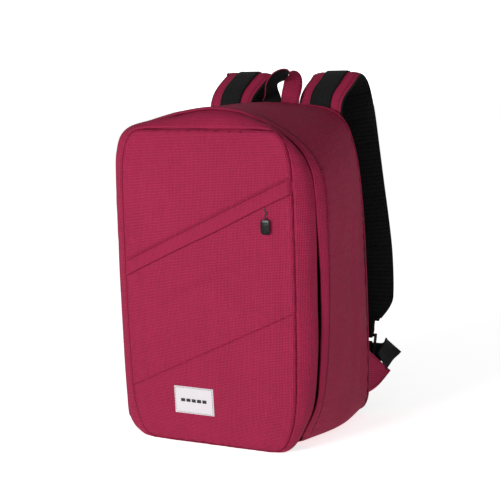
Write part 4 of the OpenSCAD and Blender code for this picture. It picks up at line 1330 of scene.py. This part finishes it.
def strap(s, tag):
    path = strap_path(s)
    n = len(path)
    L = arc(path)
    total = L[-1]
    root_narrow = 1 - 0.13 * np.exp(-(L / 58) ** 2)
    taper = smooth((total - L) / 34)
    half = (STRAP_W / 2) * root_narrow * (0.52 + 0.48 * taper ** 0.7)
    side = crossways(path)
    puff_l = smooth((L - 14) / 34) * smooth((total - L) / 26)
    seed = 80 if s > 0 else 90

    def outer(w, l, i):
        a = np.abs(w)
        h = 1.4 + 3.0 * puff_l[i] * (1 - a ** 3.2) + 0.35 * puff_l[i]
        h -= 1.3 * puff_l[i] * bump_at(a, WEB_W / STRAP_W + 0.06, 0.05)
        h += 0.45 * across_band(30, w, l, [22, 17, 9], seed) * (1 - a ** 4)
        h -= 0.5 * bump_at(a, 0.9, 0.05) * puff_l[i]
        return h * np.clip((1.02 - a) / 0.06, 0.25, 1)

    def inner(w, l, i):
        a = np.abs(w)
        h = 1.2 + 2.6 * puff_l[i] * (1 - a ** 3.2)
        quilt = (l % 34.0) - 17.0
        h -= 1.1 * puff_l[i] * bump_at(quilt, 0, 2.4)
        h += 0.3 * across_band(30, w, l, [20, 15, 9], seed + 1)
        return -h * np.clip((1.02 - a) / 0.06, 0.25, 1)

    edge = np.sin(np.linspace(-math.pi / 2, math.pi / 2, 33))
    pad, P, b, up = ribbon("strap_pad_" + tag, path, side, half, outer, inner, M["shell"], edge)
    mid = len(path) * 6 // 10
    if up[mid].dot(BACKWARD) < 0:
        bpy.data.objects.remove(pad)
        pad, P, b, up = ribbon("strap_pad_" + tag, path, -side, half, outer, inner, M["shell"], edge)
    m = P.shape[1]
    pad.data.materials.append(M["mesh"])
    idx = []
    for f in pad.data.polygons:
        cols = [v % m for v in f.vertices]
        idx.append(1 if len(f.vertices) == 4 and min(cols) >= 33 else 0)
    pad.data.polygons.foreach_set("material_index", idx)
    pieces = [pad]
    # piping along both edges
    for k in (-1, 1):
        line = np.array([path[i] + b[i] * half[i] * k * 0.985 for i in range(n)])
        pieces.append(tube("strap_piping", line[2:-2], 1.5, M["webbing"], 8))
    # the webbing stripe, its bar tacks and its stitching
    hw = WEB_W / 2
    top = np.array([path[i] + up[i] * (outer(np.zeros(1), L[i], i)[0] + 0.1) for i in range(n)])
    stripe_s = np.linspace(-1, 1, 13)

    def stripe_out(w, l, i):
        a = np.abs(w)
        return 1.5 - 0.5 * a ** 6 + 0.18 * across_band(15, w, l, [14, 11, 9], seed + 2)

    def stripe_in(w, l, i):
        return -1.6 + 0 * w

    stripe, _, _, _ = ribbon("strap_stripe", top, b, np.full(n, hw), stripe_out, stripe_in, M["webbing"],
        stripe_s)
    pieces.append(stripe)
    for k in (-1, 1):
        line = np.array([top[i] + b[i] * hw * k * 0.86 + up[i] * 1.45 for i in range(n)])
        pieces.append(stitches("stripe_stitch", line, up, M["black_thread"], length=2.6, gap=1.0,
            width=0.55))
        e = np.array([path[i] + b[i] * half[i] * k * 0.86 + up[i] * (outer(np.array([0.86]), L[i], i)[0]
            + 0.1) for i in range(n)])
        pieces.append(stitches("edge_stitch", e, up, M["thread"], length=2.6, gap=1.0, width=0.6))
    for at in (0.34, 0.62, 0.9):
        i = int(n * at)
        for off in np.linspace(-1.6, 1.6, 5):
            j = int(np.clip(i + off, 0, n - 1))
            q = top[j] + up[j] * 1.5
            line = np.array([q + b[j] * t for t in np.linspace(-hw * 0.8, hw * 0.8, 24)])
            pieces.append(stitches("bar_tack", line, up[j], M["black_thread"], length=1.6, gap=0.5,
                width=0.6))
    ob = join("strap_pad_" + tag, pieces)
    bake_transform(ob)
    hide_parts("strap_root_" + tag, "strap_outer_" + tag, "strap_foam_" + tag, "strap_mesh_" + tag)


LOCK_TILT = math.radians(20)
LOCK_C = np.array([(lock_lo[0] + lock_hi[0]) / 2, lock_hi[1] - 2.6, lock_hi[2] - 2.2])
RAIL, LOCK_TALL, TAIL_LONG = 4.6, 31.0, 44.0


def at_lock(s, p):
    """A point given in a ladder lock's own axes: +X across and -Z down the strap, from its top bar."""
    p = np.asarray(p, float)
    c, d = math.cos(-LOCK_TILT), math.sin(-LOCK_TILT)
    q = np.stack([p[..., 0], c * p[..., 1] - d * p[..., 2], d * p[..., 1] + c * p[..., 2]], -1)
    return q + LOCK_C * [s, 1, 1]


def lock_parts(s, tag):
    """The loop of webbing that holds the ladder lock, the lock, and the webbing's turn and tail."""
    body = "strap_" + tag
    hw = WEB_W / 2
    # loop from the pad round the top bar
    r = 3.4
    prof = [(0, -2.1, 22.0), (0, -2.3, 14.0), (0, -2.6, 6.0)] + [(0,
        -r * math.cos(t - math.pi * 0.5) * 0.98, -r * math.sin(t - math.pi * 0.5) * 0.98)
        for t in np.linspace(0.1, 2.9, 12)][::1] + [(0, 2.6, 6.0), (0, 1.2, 12.0), (0, 0.9, 20.0)]
    line = even(spline(at_lock(s, prof), 4), 1.2)
    loop_web = web_band("lock_loop_" + tag, line, crossways(line), hw, 0.8, 0.3)
    tack = []
    for z in (9.0, 10.6, 12.2):
        q = at_lock(s, [[x_, -3.6, z] for x_ in np.linspace(-hw * 0.8, hw * 0.8, 24)])
        tack.append(stitches("tack", q, FORWARD, M["black_thread"], length=1.6, gap=0.4, width=0.7))
    ob = join("lock_loop_" + tag, [loop_web] + tack)
    rides(ob, body, "webbing", "strap_webbing_" + tag)

    # the ladder lock: rounded rails and bars with a curved grip at the lower edge
    parts = []
    lw2, lh2 = (lock_hi[0] - lock_lo[0]) / 2, LOCK_TALL
    for k in (-1, 1):
        line = at_lock(s, [[k * (lw2 - RAIL / 2), 0.5 * math.sin(t * math.pi), 2.4 - (lh2 + 0.6) * t]
            for t in np.linspace(0, 1, 16)])
        parts.append(tube("rail", line, RAIL / 2, M["plastic"], 14, 0.82))
    for z, rr in ((0.2, 2.0), (-12.0, 1.9), (-lh2 + 4.4, 2.2)):
        line = at_lock(s, [[x_, 0.25 * math.cos(x_ / lw2 * 1.4), z - 0.5 * (1 - (x_ / lw2) ** 2)]
            for x_ in np.linspace(-lw2 + 2.2, lw2 - 2.2, 18)])
        parts.append(tube("bar", line, rr, M["plastic"], 14))
    lip = []
    for j, (yy, zz) in enumerate([(-1.0, -lh2 + 3.4), (-2.4, -lh2 + 2.2), (-4.6, -lh2 + 2.6),
            (-4.9, -lh2 + 4.2), (-3.4, -lh2 + 5.4), (-1.2, -lh2 + 5.8)]):
        xs = np.linspace(-hw * 0.96, hw * 0.96, 26)
        lip.append(at_lock(s, np.stack([xs, yy - 0.7 * (1 - (xs / hw) ** 2),
            zz + 0.5 * np.cos(xs / hw * 3) * (j % 2)], 1)))
    parts.append(sheet_mesh("grip", np.array(lip + lip[:1]), M["plastic"]))
    for x_ in np.linspace(-hw * 0.7, hw * 0.7, 5):
        parts.append(tube("tooth", at_lock(s, [[x_, -4.9, -lh2 + 1.8], [x_, -5.6, -lh2 + 3.2],
            [x_, -5.0, -lh2 + 4.8]]), 0.55, M["plastic"], 6))
    rides(join("ladder_lock_" + tag + "_moulding", parts), "ladder_lock_" + tag, "moulded_plastic",
        "ladder_lock_" + tag)

    # the adjuster's turn round the middle bar and its hanging tail
    prof = [(0, 3.0, -22.0), (0, 3.2, -16.0)] + [(0, (2.6 + 0.8) * math.cos(t),
        -12.0 + (2.6 + 0.8) * math.sin(t)) for t in np.linspace(0.1, math.pi - 0.1, 9)] + [(0, -3.1,
        -16.0), (0, -2.2, -24.0)]
    tail = [(0.2, 3.0, -20.0)] + [(0.5 * math.sin(q * 5), 3.3 + 2.0 * q ** 2 * math.sin(q * 5.4),
        -20.0 - TAIL_LONG * q) for q in np.linspace(0.1, 1, 12)]
    out = []
    for nm, pr in (("turn", prof), ("tail", tail)):
        line = even(spline(at_lock(s, pr), 4), 1.2)
        out.append(web_band(nm, line, crossways(line), hw - 0.4, 0.75, 0.25))
    # the tail's end is folded back and sewn
    endz = -20.0 - TAIL_LONG
    fold = [(0, 4.6, endz + 15.0), (0, 5.4, endz + 8.0), (0, 5.2, endz + 1.0), (0, 3.6, endz - 0.4),
        (0, 2.4, endz + 1.4)]
    line = even(spline(at_lock(s, fold), 4), 1.2)
    out.append(web_band("hem", line, crossways(line), hw - 0.2, 0.7, 0.0))
    rides(join("adjuster_tail_" + tag + "_webbing", out), "ladder_lock_" + tag, "webbing",
        "adjuster_tail_" + tag)


# ---- wings and the slack webbing from them
wing_lo, wing_hi = mm_box("wing_right")
ad_lo, ad_hi = mm_box("adjuster_webbing_right")
WING_ROOT_X = wing_lo[0] + 1.6
WING_TOP = np.array([WING_ROOT_X, BACK_Y - 2.0, wing_hi[2] - 1.0])
WING_LOW = np.array([WING_ROOT_X, BACK_Y - 2.0, wing_lo[2] + 1.0])
WING_TIP = np.array([wing_hi[0] - 1.2, wing_hi[1] - 0.8, wing_lo[2] + 22.5])


def wing(s, tag):
    rows, cols = 26, 22
    P = []
    for i in range(rows):
        u = i / (rows - 1)
        # the lower edge swells outward; the upper edge, where the webbing is sewn in, is straight
        a = WING_TOP * (1 - u) + WING_LOW * u
        line = []
        for j in range(cols):
            v = j / (cols - 1)
            p = a * (1 - v) + WING_TIP * v
            belly = 7.0 * math.sin(math.pi * v) * u ** 1.5
            p = p + np.array([0, 0.3, -0.95]) * belly * 0.6
            puffy = 1.5 * math.sin(math.pi * v) * math.sin(math.pi * u) + 0.5 * noise(np.array([u * 60,
                v * 50, 0.0]), 18, 101)
            n = unit(np.cross(WING_LOW - WING_TOP, WING_TIP - WING_TOP))
            line.append(p - n * puffy)
        P.append(line)
    P = np.array(P)
    P[..., 0] *= s
    ob = sheet_mesh("wing_cloth_" + tag, P, M["shell"], False, flip=s < 0)
    add_thickness(ob, 2.4, 0)
    n = unit(np.cross(WING_LOW - WING_TOP, WING_TIP - WING_TOP)) * [s, 1, 1]
    pieces = [ob]
    for k in (-1, 1):
        low = P[-3, 2:-2] + n * 1.5 * k
        up_line = P[2, 2:-2] + n * 1.5 * k
        for ln in (low, up_line):
            pieces.append(stitches("wing_sewing", even(ln, 1.5), n * k, M["thread"], length=2.4, width=0.6))
    bpy.context.view_layer.update()
    rides(pieces[0], "rear_section", "shell_fabric", "wing_" + tag)
    rides(join("wing_sewing_" + tag, pieces[1:]), "rear_section", "shell_fabric")


DRAWN_SPAN = [49.4, 59.8, 42.8]  # size of the box, in mm, that the offsets in adjuster were drawn for
START_IN = (12.1, 9.7, 7.9)      # how far inside its box the webbing starts


def adjuster(s, tag):
    """Slack webbing from the wing's upper edge, round behind, to the ladder lock."""
    way = unit(WING_TIP - WING_TOP)
    span = np.array([ad_hi[0] - ad_lo[0], ad_hi[1] - ad_lo[1], ad_hi[2] - ad_lo[2]]) / DRAWN_SPAN
    off = [(0.7, 0.2, 1.4), (0.9, 3.5, 3.0), (1.5, 11, 7), (3, 23, 13), (2, 36, 15), (-4, 43, 10),
        (-13, 42, 4), (-24, 37, 3), (-32, 32, 4)]
    sd = [way, way, (0.3, 0.8, -0.5), (0.4, 0.55, -0.75), (0.7, 0.2, -0.65), (0.75, -0.3, -0.6),
        (0.5, -0.6, -0.6), (0.6, -0.3, -0.7), (0.8, 0, -0.5)]
    base = np.array([ad_hi[0] - START_IN[0], ad_lo[1] + START_IN[1], ad_lo[2] + START_IN[2]])
    p = np.array([(base + np.array(o) * span) * [s, 1, 1] for o in off])
    b = unit(np.array([np.array(v) * [s, 1, 1] for v in sd]))
    line = spline(p, 12)
    side = spline(b, 12)
    band = web_band("adjuster_band_" + tag, line, side, WEB_W / 2 - 1.0, 0.8, 0.25, 15)
    rides(band, "rear_section", "webbing", "adjuster_webbing_" + tag)


for s, tag in ((1, "right"), (-1, "left")):
    strap(s, tag)
    lock_parts(s, tag)
    wing(s, tag)
    adjuster(s, tag)

# ---- grab handle: one strip, burgundy outside and black inside
ho_lo, ho_hi = mm_box("handle_outer")
hr_lo, hr_hi = mm_box("handle_root")
HANDLE_X, HANDLE_Y = (hr_lo[0] + hr_hi[0]) / 2, (hr_lo[1] + hr_hi[1]) / 2
HANDLE_HALF = (hr_hi[0] - hr_lo[0]) / 4 - 0.15
HANDLE_UP = ho_hi[2] - ho_lo[2]
# (across, up) from the middle of the handle's base, as shares of half its width and of its height
HANDLE_LINE = [(-0.5, -0.72), (-0.5, -0.36), (-0.5, -0.04), (-0.50, 0.2), (-0.42, 0.46), (-0.2, 0.66),
    (0.12, 0.76), (0.42, 0.80), (0.58, 0.62),
               (0.60, 0.32), (0.55, 0.02), (0.5, -0.36), (0.5, -0.72)]
HANDLE_TURN = [(1, 0, 0), (1, 0, 0), (0.7, 0.7, 0), (0.25, 0.97, 0), (0.05, 0.95, -0.25),
    (-0.1, 0.85, -0.5), (-0.15, 0.8, -0.55), (0.1, 0.95, -0.2),
               (0.6, 0.8, 0), (0.85, 0.5, 0), (1, 0.1, 0), (1, 0, 0), (1, 0, 0)]
q = np.array(HANDLE_LINE)
line = spline(np.stack([HANDLE_X + q[:, 0] * 2 * (HANDLE_HALF + 0.3), np.full(len(q), HANDLE_Y),
    ho_lo[2] + q[:, 1] * HANDLE_UP], 1), 12)
line[:, 1] += 0.5 * (line[:, 0] - HANDLE_X) * smooth((line[:, 2] - ho_lo[2]) / 26)
turn = spline(np.array(HANDLE_TURN, float), 12)
HW = 17
edge_s = np.sin(np.linspace(-math.pi / 2, math.pi / 2, HW))


def handle_out(w, l, i):
    a = np.abs(w)
    return (1.9 - 0.9 * a ** 6 - 0.35 * bump_at(a, 0.8, 0.06)) + 0.3 * across_band(12, w, l, [10, 9, 9],
        111)


def handle_in(w, l, i):
    a = np.abs(w)
    return -(1.9 - 0.9 * a ** 6 - 0.35 * bump_at(a, 0.8, 0.06)) + 0.2 * across_band(12, w, l, [10, 9, 9],
        112)


strip, HP, hb, hu = ribbon("grab_handle_strip", line, turn, np.full(len(line), HANDLE_HALF), handle_out,
    handle_in, M["shell"], edge_s)
strip.data.materials.append(M["webbing"])
m_ = HP.shape[1]
strip.data.polygons.foreach_set("material_index", [1 if len(f.vertices) == 4 and min(v % m_
    for v in f.vertices) >= HW else 0 for f in strip.data.polygons])
seams = [strip]
for k in (-1, 1):
    for face, mat in ((1, "thread"), (-1, "black_thread")):
        ln = line + hb * HANDLE_HALF * 0.8 * k + hu * 1.75 * face
        seams.append(stitches("handle_seam", ln[3:-3], (hu * face)[3:-3], M[mat], length=2.6, gap=1.0,
            width=0.6))
for k in (-1, 1):
    for z in (0.0, 1.6, 3.2, 4.8):
        x0 = HANDLE_X + k * (HANDLE_HALF + 0.3)
        ln = np.array([[x0 + t, HANDLE_Y + 2.3, ho_lo[2] - 10 - z]
            for t in np.linspace(-HANDLE_HALF * 0.8, HANDLE_HALF * 0.8, 24)])
        seams.append(stitches("handle_tack", ln, BACKWARD, M["thread"], length=1.6, gap=0.4, width=0.7))
handle = join("grab_handle_strip", seams)
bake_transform(handle)
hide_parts("handle_outer", "handle_lining", "handle_root")

# ---- the main zip's two sliders and their pulls, on the left side
def on_side(ob, centre):
    """Turns a piece built facing the front so that it faces the left side, about its centre."""
    co = np.zeros(len(ob.data.vertices) * 3)
    ob.data.vertices.foreach_get("co", co)
    co = co.reshape(-1, 3) / MM - centre
    co = np.stack([co[:, 1], -co[:, 0], co[:, 2]], 1) + centre
    ob.data.vertices.foreach_set("co", (co * MM).ravel())
    ob.data.update()
    return ob


for tag, way in (("upper", 1), ("lower", -1)):
    a_lo, a_hi = mm_box("main_slider_" + tag)
    b_lo, b_hi = mm_box("main_pull_" + tag)
    top_z = a_hi[2] - 7.0
    c = np.array([a_hi[0] - 1.6, (a_lo[1] + a_hi[1]) / 2, top_z])
    body = on_side(lozenge("main_slider_body", tuple(c), (4.6, 1.7, 6.8), M["slider"], tip=0.3 * way), c)
    bridge = tube("main_slider_bridge", [(c[0], c[1], c[2] + 5.2), (c[0] - 2.6, c[1], c[2] + 2.6),
        (c[0] - 2.9, c[1], c[2] - 2.6), (c[0], c[1], c[2] - 5.4)], 0.95, M["slider"], 10)
    lug_eye = a_lo[2] + 2.4
    lug = tube("main_slider_lug", spline([(c[0] - 1.2, c[1], c[2] - 4.6), (c[0] - 2.6, c[1], c[2] - 7.4),
        (c[0] - 2.4, c[1], lug_eye + 0.6)], 6), 1.0, M["slider"], 10)
    rides(join("main_slider_" + tag + "_body", [body, bridge, lug]), "main_slider_" + tag, "slider_metal",
        "main_slider_" + tag)
    px = (b_lo[0] + b_lo[0] + 1.8) / 2
    py = (b_lo[1] + b_hi[1]) / 2
    cord_line = spline([(c[0] - 2.4, py, b_hi[2] - 0.8), (px + 2.2, py, b_hi[2] - 0.4),
        (px + 0.4, py, b_hi[2] - 2.0), (px + 0.2, py, b_hi[2] - 7.6)], 10)
    cord = tube("main_cord", cord_line, 0.85, M["cord"], 10)
    t_mid = np.array([px, py, (b_lo[2] + b_lo[2] + 12.0) / 2])
    tab = on_side(lozenge("main_tab", tuple(t_mid), ((b_hi[1] - b_lo[1]) / 2, 0.95, 6.0), M["plastic"],
        power=5, n=36, rows=9), t_mid)
    rides(join("main_pull_" + tag + "_tab", [cord, tab]), "main_pull_" + tag, "moulded_plastic",
        "main_pull_" + tag)


# ---- floor and light
def plane(name, centre, size, mat):
    c, h = np.array(centre, float), size / 2
    return make(name, [c + [-h, -h, 0], c + [h, -h, 0], c + [h, h, 0], c + [-h, h, 0]], [[0, 1, 2, 3]],
        None, mat)


def area(name, at, toward, size, power):
    lamp = bpy.data.lights.new(name, "AREA")
    lamp.shape = "DISK"
    lamp.size = size
    lamp.energy = power
    ob = bpy.data.objects.new(name, lamp)
    bpy.context.collection.objects.link(ob)
    ob.location = at
    d = Vector(toward) - Vector(at)
    ob.rotation_euler = d.to_track_quat("-Z", "Y").to_euler()
    return ob


area("key_light", (-0.9, -3.2, 1.15), (0, 0, 0.22), 1.3, 82)
area("fill_light", (3.0, -1.4, 1.0), (0, 0, 0.2), 1.6, 3)


def glow(name, strength, rough):
    """A pale studio surface that is lit on its own, as a sweep is, so that it stays near white."""
    k = Nodes(name)
    soft = k.noise(k.coords(False), 3.0, 2.0)
    k.face("Base Color", k.mix(k.range(soft, 0.3, 0.7, 0.0, 1.0), [0.9, 0.9, 0.9, 1],
        [0.92, 0.92, 0.92, 1]))
    k.face("Roughness", k.range(soft, 0.3, 0.7, rough, rough + 0.08))
    k.face("Specular IOR Level", 0.05)
    k.face("Emission Color", (1, 1, 1, 1))
    k.face("Emission Strength", strength)
    return k.mat


FLOOR_WIDE, STAGE_R, STAGE_HEIGHTS = 16000, 7000.0, (-10.0, 3000.0, 6000.0)
floor = plane("floor", (0, 0, 0), FLOOR_WIDE, glow("floor", 0.72, 0.85))
a = np.linspace(0, 2 * math.pi, 97)[:-1]
ring = np.array([np.stack([STAGE_R * np.cos(a), STAGE_R * np.sin(a), np.full(96, h)], 1)
    for h in STAGE_HEIGHTS])
drop = sheet_mesh("backdrop", ring, glow("backdrop", 0.95, 0.9), True)
drop.visible_diffuse = False
drop.visible_glossy = False
drop.visible_shadow = False
floor.visible_glossy = False

world = bpy.data.worlds.new("studio")
bpy.context.scene.world = world
world.use_nodes = True
world.node_tree.nodes["Background"].inputs[0].default_value = (1, 1, 1, 1)
world.node_tree.nodes["Background"].inputs[1].default_value = 0.3
bpy.context.scene.view_settings.view_transform = "Standard"
bpy.context.scene.view_settings.look = "None"

bpy.context.view_layer.update()
